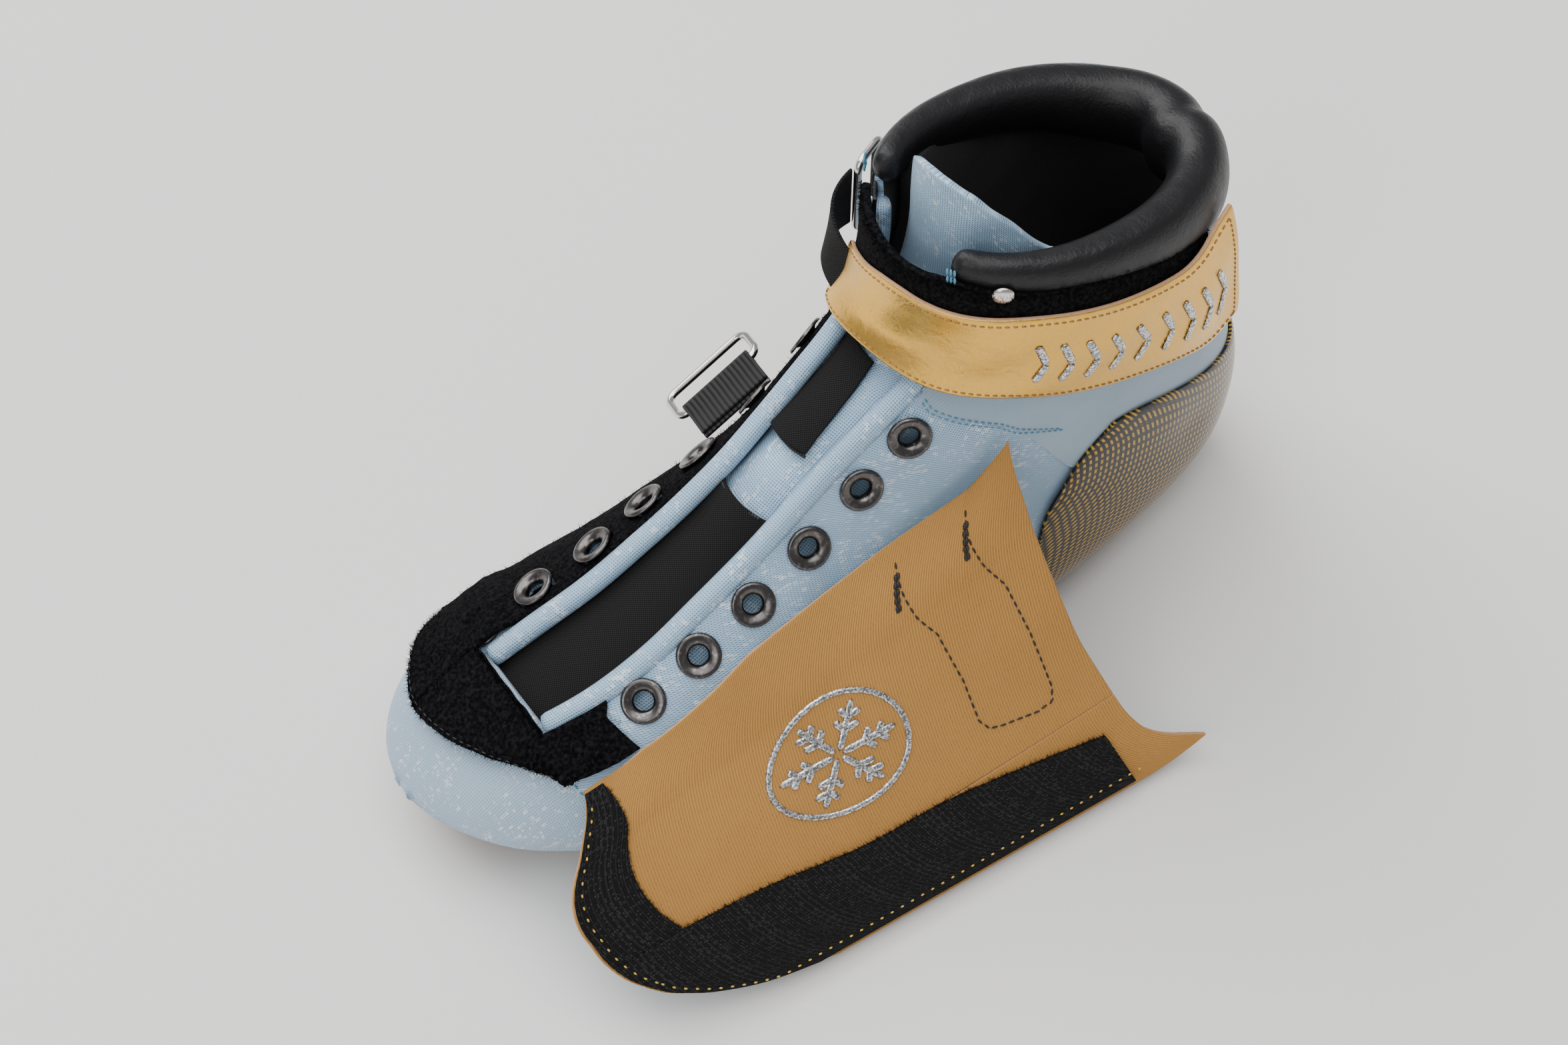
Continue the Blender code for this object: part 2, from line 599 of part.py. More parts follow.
def ankle_straps():
    boot_sheet("ankle_strap_base", "black", 5, 14, (0.010, 0.165), (-34, 112),
               STRAP_BASE_OUT, STRAP_WALL)

    def strap_out(along, angle):
        flare = np.clip((angle - STRAP_FLARE_START) / (STRAP_TIP_ANGLE - STRAP_FLARE_START), 0, 1)
        return STRAP_OUT + STRAP_FLARE * flare ** 2

    def row_at(rows):
        def edge(share):
            angle = STRAP_ROOT_ANGLE + (STRAP_TIP_ANGLE - STRAP_ROOT_ANGLE) * share
            return np.interp(angle, [row[0] for row in rows], [row[1] for row in rows])
        return edge
    boot_sheet("ankle_strap", "gold", 5, 20, (row_at(STRAP_TOP), row_at(STRAP_FOOT)),
               (STRAP_ROOT_ANGLE, STRAP_TIP_ANGLE), strap_out, STRAP_WALL)


def cylinder(radius, depth, segments=14):
    shape = bmesh.new()
    bmesh.ops.create_cone(shape, cap_ends=True, segments=segments, radius1=radius, radius2=radius,
                          depth=depth)
    bmesh.ops.rotate(shape, cent=(0, 0, 0), matrix=Matrix.Rotation(math.pi / 2, 3, "Y"), verts=shape.verts)
    return shape


def ring_and_loops(ring_name, slot, pose, loops):
    """A wire ring in the XY plane of pose, its long bars along X, and webbing loops on its bars.
    loops holds a name, the side of the ring (1 or -1) and the loop's tail length for each."""
    length, height = slot + 2 * RING_WIRE_RADIUS, RING_SLOT_HEIGHT + 2 * RING_WIRE_RADIUS
    points = rounded_loop(length, height, 0.003)
    wire(ring_name, "nickel", [pose @ p for p in points], RING_WIRE_RADIUS, closed=True)
    for name, side, tail, width, tilt in loops:
        eye = RING_WIRE_RADIUS + LOOP_CLEARANCE
        hub = from_bmesh(name, cylinder(eye + WEBBING_WALL, width), "black")
        place = pose @ Matrix.Translation((0, side * height / 2, 0)) @ Matrix.Rotation(tilt, 4, "X")
        hub.matrix_world = place
        plate = cutter(f"{name}_tail", box((width, tail, 2 * WEBBING_WALL), (0, side * tail / 2, 0)))
        plate.matrix_world = place
        hole = cutter(f"{name}_eye", cylinder(eye, 2 * width))
        hole.matrix_world = place
        join = hub.modifiers.new("join", "BOOLEAN")
        join.operation = "UNION"
        join.object = plate
        cut(hub, hole)


def rings():
    ankle = Matrix(seat(*ANKLE_RING_SEAT))
    ring_and_loops("ankle_ring", ANKLE_RING_SLOT_WIDTH, ankle,
                   (("ankle_ring_tab", -1, 0.0075, 0.020, math.radians(28)),
                    ("ankle_strap_webbing", 1, 0.0085, 0.022, math.radians(-14))))
    instep = Matrix(seat(*INSTEP_TAB_SEAT)) @ Matrix.Rotation(math.radians(INSTEP_RING_TILT), 4, "X")
    instep = instep @ Matrix.Translation((0, -INSTEP_RING_REACH, 0))
    ring_and_loops("instep_ring", RING_SLOT_WIDTH, instep,
                   (("instep_ring_tab", 1, INSTEP_RING_REACH - 0.004, 0.0245, 0.0),))


# Lace cover: a root strip sewn to the outer quarter, the panel and its outer edge

def cover_lines():
    """Ends of the hinge line and of the hem, front first."""
    hinge = [Vector(skin(0.735, 58, 0.0075)), Vector(skin(0.350, 66, 0.0112))]
    hem = []
    for point, width, shift in zip(hinge, (COVER_FRONT_WIDTH, COVER_REAR_WIDTH), (-0.0105, -0.0200)):
        drop = point.z - HEM_HEIGHT
        hem.append(Vector((point.x + shift, point.y + math.sqrt(width ** 2 - drop ** 2), HEM_HEIGHT)))
    return hinge, hem


def on_cover(first, second, out=0.0):
    """Points on the open cover: first runs from its toe end to its rear, second from hinge to hem."""
    hinge, hem = cover_lines()
    first, second = np.broadcast_arrays(np.asarray(first, float), np.asarray(second, float))

    def ruled(u, v):
        u, v = u[..., None], v[..., None]
        root = np.array(hinge[0]) * (1 - u) + np.array(hinge[1]) * u
        return root * (1 - v) + (np.array(hem[0]) * (1 - u) + np.array(hem[1]) * u) * v
    bulge = COVER_BULGE * np.sin(math.pi * np.clip(second, 0, 1) ** 0.85) * (1 - first) ** 2.5
    step = 0.01
    lengthwise = ruled(first + step, second) - ruled(first - step, second)
    outwards = ruled(first, second + step) - ruled(first, second - step)
    normal = unit(np.cross(outwards, lengthwise))
    points = ruled(first, second) + normal * np.asarray(out, float)[..., None]
    points[..., 0] += bulge
    return points


def cover_sheet(name, colour, rows, columns, along, across, out, wall):
    def place(first, second):
        return on_cover(along[0] + (along[1] - along[0]) * first,
                        across[0] + (across[1] - across[0]) * second, out)
    return mapped_sheet(name, colour, rows, columns, place, wall, turned_over=True)


def cover():
    root_top = ((0.29, 62), (0.35, 58.5), (0.432, 51.5), (0.583, 43), (0.688, 43.5), (0.72, 46))
    table = np.array(root_top)
    boot_sheet("cover_root", "tan", 12, 2, (0.30, 0.72),
               (lambda a: np.interp(a, *table.T), lambda a: np.interp(a, *table.T) + 13),
               COVER_WALL + EYELET_LIFT, COVER_WALL)
    half = COVER_WALL / 2
    cover_sheet("cover_panel", "tan", 10, 4, (0, 1), (COVER_START, COVER_FOLD - FOLD_GAP), half, COVER_WALL)
    cover_sheet("cover_edge", "tan", 10, 2, (0, 1), (COVER_FOLD + FOLD_GAP, 1), half, COVER_WALL)
    tape = half + GAP + TAPE_WALL
    cover_sheet("cover_toe_hook", "black", 2, 4, (0.015, 0.17), (0.12, COVER_FOLD - 2 * FOLD_GAP),
                tape, TAPE_WALL)
    cover_sheet("cover_hook_tape", "black", 10, 2, (0.015, 0.93), (COVER_FOLD + 2 * FOLD_GAP, 0.975),
                tape, TAPE_WALL)
    under = -half - LAYER_GAP
    cover_sheet("instep_strap", "black", 2, 4, STRAP_PLACE, (0.10, COVER_FOLD - FOLD_GAP),
                under, WEBBING_WALL)
    cover_sheet("instep_strap_end", "black", 2, 2, STRAP_PLACE, (COVER_FOLD + FOLD_GAP, 0.95),
                under, WEBBING_WALL)


reset()
carbon_shell()
sole()
quarter("outer_quarter", True)
quarter("inner_quarter", False)
vamp()
lining()
piping()
collar()
tongue()
loop_patch()
eyelets()
ankle_straps()
rings()
cover()
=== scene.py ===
"""Speed skating boot: the finished surfaces round its frame, one operator for each group of pieces."""

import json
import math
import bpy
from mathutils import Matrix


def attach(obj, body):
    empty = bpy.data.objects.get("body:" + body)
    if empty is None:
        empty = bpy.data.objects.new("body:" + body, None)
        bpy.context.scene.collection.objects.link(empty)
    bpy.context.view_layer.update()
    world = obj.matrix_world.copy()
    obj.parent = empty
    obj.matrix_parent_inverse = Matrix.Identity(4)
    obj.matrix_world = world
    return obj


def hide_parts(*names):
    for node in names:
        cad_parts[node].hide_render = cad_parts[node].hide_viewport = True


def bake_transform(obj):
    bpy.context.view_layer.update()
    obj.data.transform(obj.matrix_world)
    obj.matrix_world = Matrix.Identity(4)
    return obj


bl_info = {
    "name": "Speed Skating Boot",
    "version": (1, 0, 0),
    "blender": (4, 5, 0),
    "location": "3D View > Sidebar > Skate Boot",
    "description": "Builds the upper, collar, straps, lace cover, shell and fittings of a skating boot",
    "category": "Add Mesh",
}

import bmesh
import bpy
import numpy as np
from mathutils import Matrix, Vector

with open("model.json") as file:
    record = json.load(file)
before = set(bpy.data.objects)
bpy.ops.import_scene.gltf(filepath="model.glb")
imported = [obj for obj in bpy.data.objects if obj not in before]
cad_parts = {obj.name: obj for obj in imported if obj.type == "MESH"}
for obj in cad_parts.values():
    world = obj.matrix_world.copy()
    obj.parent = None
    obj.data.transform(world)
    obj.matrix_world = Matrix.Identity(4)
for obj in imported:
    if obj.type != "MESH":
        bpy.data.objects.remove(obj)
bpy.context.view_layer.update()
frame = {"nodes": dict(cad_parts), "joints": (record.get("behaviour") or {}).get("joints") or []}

# Driving sizes of the boot, and its walls from the outside in
BOOT_LENGTH = 0.2835
BOOT_WIDTH = 0.095
COLLAR_HEIGHT = 0.160
ORIGIN_X = 0.72 * BOOT_LENGTH
SHELL_WALL = 0.0022
UPPER_WALL = 0.0019
LINING_WALL = 0.0022
HEEL_PAD_WALL = 0.0052
TONGUE_WALL = 0.0026
WEBBING_WALL = 0.0011
PATCH_WALL = 0.0014
STRAP_WALL = 0.0015
COVER_WALL = 0.0020
TAPE_WALL = 0.0011
GAP = 0.0004
LAYER_GAP = 0.0008
SHELL_OUT = SHELL_WALL + 0.0009
THROAT_END = 0.752
SHELL_TOP = 0.247

# Cross-sections from the collar round the ankle to the toe, in hundredths of the boot's length,
# width or height: front x, front z, back x, back z, outer and inner half-width, centre y, then the
# height share of the widest point and the squareness of the curve above and below it.
SECTIONS = (
    (41.3, 100.0, 7.8, 95.0, 36.8, 37.9, -1.0, 0.50, 2.2, 2.2),
    (41.3, 90.6, 6.2, 80.0, 37.9, 37.9, -1.0, 0.50, 2.2, 2.2),
    (42.3, 82.5, 4.5, 65.0, 37.9, 37.9, -1.0, 0.50, 2.2, 2.2),
    (44.8, 76.9, 2.8, 50.0, 37.9, 37.9, -1.0, 0.50, 2.2, 2.2),
    (48.0, 73.1, 1.1, 35.6, 37.4, 37.4, -1.0, 0.48, 2.2, 2.2),
    (51.9, 69.4, 0.9, 22.0, 36.8, 36.8, -1.0, 0.45, 2.2, 2.3),
    (56.1, 65.0, 2.8, 10.0, 36.3, 36.3, -1.0, 0.42, 2.2, 2.4),
    (60.7, 60.6, 9.5, 5.0, 36.8, 36.8, 0.0, 0.40, 2.2, 2.6),
    (65.6, 55.6, 21.2, 5.6, 41.0, 39.0, 0.0, 0.38, 2.2, 2.8),
    (70.9, 50.6, 37.0, 7.5, 45.3, 42.1, 0.0, 0.36, 2.2, 3.0),
    (76.5, 45.6, 52.9, 6.3, 49.5, 45.3, 0.0, 0.34, 2.2, 3.2),
    (82.2, 40.6, 68.8, 4.4, 50.5, 49.5, -1.0, 0.32, 2.2, 3.2),
    (87.5, 35.6, 81.1, 5.0, 46.3, 47.4, -3.2, 0.34, 2.2, 3.0),
    (92.4, 30.3, 90.0, 6.9, 37.9, 40.0, -6.3, 0.38, 2.2, 2.6),
    (96.3, 25.0, 95.3, 9.4, 27.4, 29.5, -8.4, 0.44, 2.2, 2.3),
    (98.9, 19.7, 98.4, 12.2, 14.7, 16.8, -10.5, 0.50, 2.1, 2.1),
    (100.0, 16.2, 100.0, 15.4, 3.0, 3.0, -11.6, 0.50, 2.0, 2.0),
)
FRONT_X, FRONT_Z, BACK_X, BACK_Z, OUTER, INNER, CENTRE, BELLY, ROUND_UP, ROUND_DOWN = range(10)
UNITS = np.array([BOOT_LENGTH, COLLAR_HEIGHT, BOOT_LENGTH, COLLAR_HEIGHT,
                  BOOT_WIDTH, BOOT_WIDTH, BOOT_WIDTH]) / 100

# Lace rows, place along the boot and angle round it, and the throat's edge on each side
OUTER_EYELETS = ((0.722, 29.5), (0.660, 29.8), (0.600, 31.5), (0.537, 33.5),
                 (0.465, 35.0), (0.380, 35.5), (0.288, 36.0))
INNER_EYELETS = ((0.735, -27.5), (0.672, -25.0), (0.606, -24.5), (0.545, -26.0),
                 (0.478, -29.0), (0.395, -32.5), (0.300, -36.0))
OPENING_ANGLES = ((0.0, 24.0), (0.20, 23.0), (0.45, 23.0), (0.60, 20.5), (0.80, 16.0))
INNER_OPENING_ANGLES = ((0.0, 33.0), (0.20, 25.0), (0.35, 18.0), (0.50, 12.5), (0.62, 12.5), (0.80, 16.0))


class SkateBootSizes(bpy.types.PropertyGroup):
    weave: bpy.props.FloatProperty(
        name="Fabric Weave", description="Distance between the threads of the upper's fabric",
        default=0.0008, min=0.0001, precision=5, subtype="DISTANCE", unit="LENGTH")
    webbing: bpy.props.FloatProperty(
        name="Webbing Weave", description="Distance between the threads of the webbing",
        default=0.0008, min=0.0001, precision=5, subtype="DISTANCE", unit="LENGTH")
    rib: bpy.props.FloatProperty(
        name="Suede Rib", description="Distance between the ribs of the lace cover's suede",
        default=0.0009, min=0.0001, precision=5, subtype="DISTANCE", unit="LENGTH")
    tow: bpy.props.FloatProperty(
        name="Shell Tow", description="Distance between the coloured tows of the woven shell",
        default=0.00205, min=0.0001, precision=5, subtype="DISTANCE", unit="LENGTH")
    piping: bpy.props.FloatProperty(
        name="Piping Radius", description="Radius of the rolled edge along the throat",
        default=0.0034, min=0.001, max=0.004, precision=5, subtype="DISTANCE", unit="LENGTH")
    thread: bpy.props.FloatProperty(
        name="Thread Radius", description="Radius of the sewing thread",
        default=0.00024, min=0.0001, precision=5, subtype="DISTANCE", unit="LENGTH")
    stitch: bpy.props.FloatProperty(
        name="Stitch Length", description="Distance from one stitch to the next",
        default=0.0024, min=0.0005, precision=5, subtype="DISTANCE", unit="LENGTH")
    nap: bpy.props.FloatProperty(
        name="Nap Length", description="Length of the loose fibres on the loop patch",
        default=0.0011, min=0.0, precision=5, subtype="DISTANCE", unit="LENGTH")
    fibres: bpy.props.IntProperty(
        name="Fibres", description="Number of loose fibres on the loop patch",
        default=5200, min=0)


def colour_property(name, description, default):
    return bpy.props.FloatVectorProperty(name=name, description=description, default=default,
                                         size=3, min=0, max=1, subtype="COLOR")


class SkateBootColours(bpy.types.PropertyGroup):
    blue: colour_property("Blue", "Upper's fabric", (0.37, 0.54, 0.70))
    blue_shadow: colour_property("Blue Shadow", "Gaps in the upper's weave", (0.07, 0.15, 0.25))
    grey_blue: colour_property("Grey Blue", "Plain knit round the ankle", (0.27, 0.37, 0.46))
    tan: colour_property("Tan", "Suede face of the lace cover", (0.47, 0.235, 0.062))
    gold: colour_property("Gold", "Metallic leather of the ankle strap", (0.80, 0.46, 0.085))
    black: colour_property("Black", "Leather, webbing and pile", (0.007, 0.007, 0.008))
    amber: colour_property("Amber", "Coloured tows of the shell", (0.60, 0.33, 0.010))
    blue_thread: colour_property("Blue Thread", "Sewing thread of the upper", (0.10, 0.30, 0.44))
    yellow_thread: colour_property("Yellow Thread", "Sewing thread of the hook tape", (0.70, 0.45, 0.06))


def sizes():
    return bpy.context.scene.skate_boot_sizes


def colours():
    return bpy.context.scene.skate_boot_colours


# The boot's surface

def section_at(along):
    """Section values at a place along the boot, 0 at the collar and 1 at the toe."""
    table = np.array(SECTIONS)
    table[:, :7] *= UNITS
    last = len(table) - 1
    place = np.clip(np.asarray(along, float), -0.2, 1.0) * last
    row = np.clip(np.floor(place), 0, last - 1).astype(int)
    t = (place - row)[..., None]
    before, here = table[np.maximum(row - 1, 0)], table[row]
    after, beyond = table[row + 1], table[np.minimum(row + 2, last)]
    curve = 0.5 * (2 * here + (after - before) * t
                   + (2 * before - 5 * here + 4 * after - beyond) * t ** 2
                   + (3 * here - before - 3 * after + beyond) * t ** 3)
    return np.where(t < 0, here + (after - here) * t, curve)


def on_boot(along, angle):
    """Points on the boot: angle 0 is the front and top, 90 the outer side, 180 the back and sole."""
    along, angle = np.broadcast_arrays(np.asarray(along, float), np.radians(angle))
    values = section_at(along)
    up, side = np.cos(angle), np.sin(angle)
    power = 2 / np.where(up > 0, values[..., ROUND_UP], values[..., ROUND_DOWN])
    belly = values[..., BELLY]
    height = np.where(up > 0, belly + (1 - belly) * np.abs(up) ** power,
                      belly - belly * np.abs(up) ** power)
    half = np.where(side > 0, values[..., OUTER], -values[..., INNER])
    x = values[..., BACK_X] + (values[..., FRONT_X] - values[..., BACK_X]) * height
    z = values[..., BACK_Z] + (values[..., FRONT_Z] - values[..., BACK_Z]) * height
    y = values[..., CENTRE] + half * np.abs(side) ** power
    return np.stack([x - ORIGIN_X, y, z], -1)


def unit(vectors):
    return vectors / np.maximum(np.linalg.norm(vectors, axis=-1, keepdims=True), 1e-12)


def outwards(along, angle):
    """The boot's surface normal."""
    step, turn = 0.004, 0.8
    along, angle = np.broadcast_arrays(np.asarray(along, float), np.asarray(angle, float))
    lengthwise = on_boot(np.minimum(along + step, 0.9999), angle) - on_boot(along - step, angle)
    around = on_boot(along, angle + turn) - on_boot(along, angle - turn)
    return unit(np.cross(lengthwise, around))


def skin(along, angle, out=0.0):
    """Points on the boot, moved out along its surface normal."""
    return on_boot(along, angle) + outwards(along, angle) * np.asarray(out, float)[..., None]


def seat(along, angle, out=0.0):
    """A matrix on the boot's surface: Z outwards and X towards the toe."""
    here = Vector(skin(along, angle, out))
    up = (Vector(skin(along, angle, out + 0.01)) - here).normalized()
    ahead = Vector(skin(along + 0.01, angle, out)) - here
    side = up.cross(ahead).normalized()
    return Matrix.Translation(here) @ Matrix((side.cross(up), side, up)).transposed().to_4x4()


def turn_for(along, angle, width):
    """Degrees round the boot that a width takes there."""
    around = on_boot(along, angle + 1.0) - on_boot(along, angle - 1.0)
    return 2 * width / np.linalg.norm(around, axis=-1)


def opening(along, outer=True):
    """Angle of the throat's edge at a place along the boot."""
    rows = np.array(OPENING_ANGLES if outer else INNER_OPENING_ANGLES).T
    angle = sum(np.interp(np.asarray(along) + shift, *rows) for shift in (-0.04, -0.02, 0, 0.02, 0.04)) / 5
    return angle if outer else -angle


def ripple(points, height=0.00022):
    """Slow unevenness of stretched cloth, in metres."""
    x, y, z = np.moveaxis(points * 1000, -1, 0)
    slow = np.sin(x / 9 + z / 13) * np.sin(y / 11 - z / 7 + 1)
    return height * (slow + 0.6 * np.sin(x / 5 - y / 6 + z / 4))


# Materials

class Finish:
    """A material, with the few node calls that its pattern needs."""

    def __init__(self, name, colour, roughness, metallic=0.0, **sockets):
        self.material = bpy.data.materials.new(name)
        self.material.use_nodes = True
        self.tree = self.material.node_tree
        self.shader = self.tree.nodes["Principled BSDF"]
        self.set(self.shader, **{"Base Color": (*colour, 1), "Roughness": roughness, "Metallic": metallic})
        self.set(self.shader, **{name.replace("_", " "): value for name, value in sockets.items()})

    def set(self, node, **sockets):
        for name, value in sockets.items():
            node.inputs[name].default_value = value

    def feed(self, socket, value):
        if isinstance(value, bpy.types.NodeSocket):
            self.tree.links.new(value, socket)
        else:
            socket.default_value = value

    def math(self, operation, *values):
        node = self.tree.nodes.new("ShaderNodeMath")
        node.operation = operation
        for socket, value in zip(node.inputs, values):
            self.feed(socket, value)
        return node.outputs[0]

    def times(self, *values):
        result = values[0]
        for value in values[1:]:
            result = self.math("MULTIPLY", result, value)
        return result

    def step(self, value, low, high):
        node = self.tree.nodes.new("ShaderNodeMapRange")
        node.interpolation_type = "SMOOTHSTEP"
        self.feed(node.inputs["Value"], value)
        self.set(node, **{"From Min": low, "From Max": high})
        return node.outputs[0]

    def mix(self, share, first, second):
        node = self.tree.nodes.new("ShaderNodeMix")
        node.data_type = "RGBA"
        self.feed(node.inputs["Factor"], share)
        for socket, value in zip((node.inputs[6], node.inputs[7]), (first, second)):
            self.feed(socket, (*value, 1) if isinstance(value, (tuple, list)) and len(value) == 3 else value)
        return node.outputs[2]

    def place(self):
        """The piece's own coordinates, in metres."""
        return self.tree.nodes.new("ShaderNodeTexCoord").outputs["Object"]

    def cloth(self):
        """Distances along and across the cloth, in metres."""
        source = self.tree.nodes.new("ShaderNodeUVMap")
        source.uv_map = "Cloth"
        split = self.tree.nodes.new("ShaderNodeSeparateXYZ")
        self.tree.links.new(source.outputs[0], split.inputs[0])
        return split.outputs[0], split.outputs[1]

    def noise(self, scale, detail=2.0, where=None, roughness=0.55, distortion=0.0):
        node = self.tree.nodes.new("ShaderNodeTexNoise")
        self.feed(node.inputs["Vector"], where or self.place())
        self.set(node, Scale=scale, Detail=detail, Roughness=roughness, Distortion=distortion)
        return node.outputs[0]

    def cells(self, scale, output="Distance", feature="F1"):
        node = self.tree.nodes.new("ShaderNodeTexVoronoi")
        node.feature = feature
        self.feed(node.inputs["Vector"], self.place())
        node.inputs["Scale"].default_value = scale
        return node.outputs[output]

    def speck(self, *parts):
        """A random value for each whole-number cell."""
        join = self.tree.nodes.new("ShaderNodeCombineXYZ")
        for socket, part in zip(join.inputs, parts):
            self.feed(socket, self.math("FLOOR", part))
        node = self.tree.nodes.new("ShaderNodeTexWhiteNoise")
        self.tree.links.new(join.outputs[0], node.inputs["Vector"])
        return node.outputs["Value"]

    def wave(self, distance, pitch, power=1.0):
        """0 to 1 and back once for each pitch."""
        wave = self.math("ABSOLUTE", self.math("SINE", self.times(distance, math.pi / pitch)))
        return self.math("POWER", wave, power) if power != 1 else wave

    def colour(self, value):
        self.feed(self.shader.inputs["Base Color"], value)

    def rough(self, value, low, high):
        node = self.tree.nodes.new("ShaderNodeMapRange")
        self.feed(node.inputs["Value"], value)
        self.set(node, **{"To Min": low, "To Max": high})
        self.feed(self.shader.inputs["Roughness"], node.outputs[0])

    def bump(self, height, distance, strength=1.0):
        node = self.tree.nodes.new("ShaderNodeBump")
        self.feed(node.inputs["Height"], height)
        self.set(node, Distance=distance, Strength=strength)
        before = self.shader.inputs["Normal"]
        if before.is_linked:
            self.tree.links.new(before.links[0].from_socket, node.inputs["Normal"])
        self.tree.links.new(node.outputs[0], before)


FINISHES = {}


def glinting_weave(finish, depth, glint_strength):
    """Painted shade in the gaps between coated threads, and painted glints: pale specks on single threads in
    drifting patches.
    """
    along, across = finish.cloth()
    pitch = sizes().weave
    row, column = finish.times(along, 1 / pitch), finish.times(across, 1 / pitch)
    gap = finish.times(finish.wave(along, pitch, 1.6), finish.wave(across, pitch, 1.6))
    patch = finish.step(finish.noise(90, 4.0, distortion=1.0), 0.42, 0.60)
    weft = finish.step(finish.speck(row, finish.times(column, 0.25)), 0.62, 0.80)
    warp = finish.step(finish.speck(finish.times(row, 0.25), column), 0.66, 0.84)
    single = finish.step(finish.speck(row, column), 0.55, 0.95)
    # Painted glints: single threads in drifting patches are painted near white; their lower roughness is
    # real.
    painted_glint_mask = finish.times(finish.math("MAXIMUM", weft, warp), single, patch, glint_strength)
    body = tuple(finish.shader.inputs["Base Color"].default_value[:3])
    ground = finish.mix(painted_glint_mask, body, (0.93, 0.97, 1.0))
    # Painted shade: the gaps between threads, the hollows of the bump, are mixed towards the shadow blue.
    finish.colour(finish.mix(finish.times(gap, depth), ground, tuple(colours().blue_shadow)))
    finish.rough(painted_glint_mask, 0.46, 0.22)
    finish.bump(finish.math("SUBTRACT", 1.0, gap), 0.00016, 0.6)
    return across


def shimmer_cloth():
    """Light blue coated weave of the quarters, the tongue and the piping."""
    blue = tuple(colours().blue)
    finish = Finish("shimmer_cloth", blue, 0.4, 0.15, Sheen_Weight=0.1, Specular_IOR_Level=0.6)
    glinting_weave(finish, 0.92, 1.0)
    finish.bump(finish.noise(160, 3.0), 0.0005, 0.12)
    return finish


def toe_cloth():
    """The same fabric stretched over the toe: painted paler with painted light, and ribbed towards the sole.
    """
    # Painted light: the toe gets a paler copy of the upper's blue.
    pale = tuple(0.78 * channel + 0.11 for channel in colours().blue)
    finish = Finish("toe_cloth", pale, 0.4, 0.15, Sheen_Weight=0.1, Specular_IOR_Level=0.6)
    # Less painted shade in the gaps and weaker painted glints than on the quarters.
    across = glinting_weave(finish, 0.55, 0.8)
    finish.bump(finish.wave(across, 0.0021), 0.0003, 0.12)
    return finish


def ankle_cloth():
    """Dull grey blue knit with fine slanting ribs."""
    tint = colours()
    finish = Finish("ankle_cloth", tint.grey_blue, 0.55, 0.0, Sheen_Weight=0.25)
    along, across = finish.cloth()
    slant = finish.math("ADD", along, finish.times(across, 0.5))
    rib = finish.wave(slant, 0.00062)
    dark = tuple(0.62 * channel for channel in tint.grey_blue)
    light = tuple(1.22 * channel for channel in tint.grey_blue)
    drift = finish.noise(45, 3.0)
    finish.colour(finish.mix(finish.times(rib, 0.6), finish.mix(drift, dark, light), light))
    finish.bump(rib, 0.0001, 0.45)
    finish.bump(finish.noise(60, 3.0), 0.0012, 0.15)
    return finish


def black_leather():
    """Soft glazed leather: fine grain and short pull wrinkles."""
    finish = Finish("black_leather", colours().black, 0.42, 0.0, Specular_IOR_Level=0.36)
    finish.bump(finish.cells(1300, "Distance"), 0.00012, 0.45)
    finish.bump(finish.noise(210, 5.0, distortion=1.8), 0.0006, 0.30)
    finish.bump(finish.noise(55, 3.0, distortion=0.6), 0.0016, 0.16)
    finish.rough(finish.noise(300, 3.0), 0.34, 0.52)
    return finish


def gold_leather():
    """Foil-faced leather: crinkled, with painted shade in its creases, and worn pale patches."""
    tint = tuple(colours().gold)
    finish = Finish("gold_leather", tint, 0.3, 0.96)
    crease = finish.noise(800, 4.0, distortion=2.4)
    broad = finish.noise(45, 4.0, distortion=1.5)
    # Painted shade: this darker gold is painted into the hollows of the crinkle bump.
    crease_shade = tuple(0.72 * channel for channel in tint)
    ground = finish.mix(finish.step(broad, 0.35, 0.7), tint, tuple(0.90 * channel + 0.03 for channel in tint))
    finish.colour(finish.mix(finish.times(finish.step(crease, 0.45, 0.30), 0.7), ground, crease_shade))
    finish.rough(broad, 0.20, 0.36)
    finish.bump(crease, 0.0002, 0.28)
    finish.bump(finish.noise(150, 3.0, distortion=1.2), 0.0009, 0.22)
    return finish


def cut_leather():
    finish = Finish("cut_leather", (0.52, 0.30, 0.16), 0.85)
    finish.colour(finish.mix(finish.noise(900, 3.0), (0.40, 0.20, 0.10), (0.62, 0.40, 0.24)))
    finish.bump(finish.noise(1400, 3.0), 0.0002, 0.5)
    return finish


def ribbed_suede():
    """Napped tan face with short dark stitches of its knit in slanting columns, and painted shade in the
    hollows between its ribs.
    """
    tint = tuple(colours().tan)
    finish = Finish("ribbed_suede", tint, 0.9, 0.0, Specular_IOR_Level=0.25)
    along, across = finish.cloth()
    rib = sizes().rib
    slant = finish.math("ADD", along, finish.times(across, 0.18))
    column = finish.wave(slant, rib, 6.0)
    number = finish.math("FLOOR", finish.times(slant, 1 / rib))
    dash = finish.wave(finish.math("ADD", across, finish.times(number, 0.00071)), 0.0017, 1.4)
    stain = finish.step(finish.noise(1100, 3.0), 0.40, 0.62)
    dark = tuple(0.48 * channel for channel in tint)
    pale = tuple(1.16 * channel for channel in tint)
    ground = finish.mix(finish.noise(38, 5.0), tuple(0.86 * channel for channel in tint), pale)
    # Painted shade: the hollows between the ribs, where the rib bump is lowest, are painted darker.
    groove_shade = finish.times(finish.wave(slant, rib, 3.0), 0.35)
    knit_marks_and_groove_shade = finish.math("MAXIMUM", groove_shade, finish.times(column, dash, stain, 0.85))
    # The dark tan colours the knit's real stitches and the painted shade in the rib hollows.
    finish.colour(finish.mix(knit_marks_and_groove_shade, ground, dark))
    finish.bump(finish.math("SUBTRACT", 1.0, finish.wave(slant, rib, 2.0)), 0.00035, 0.6)
    finish.bump(finish.noise(1700, 4.0), 0.00016, 0.5)
    finish.bump(finish.noise(32, 3.0), 0.003, 0.12)
    return finish


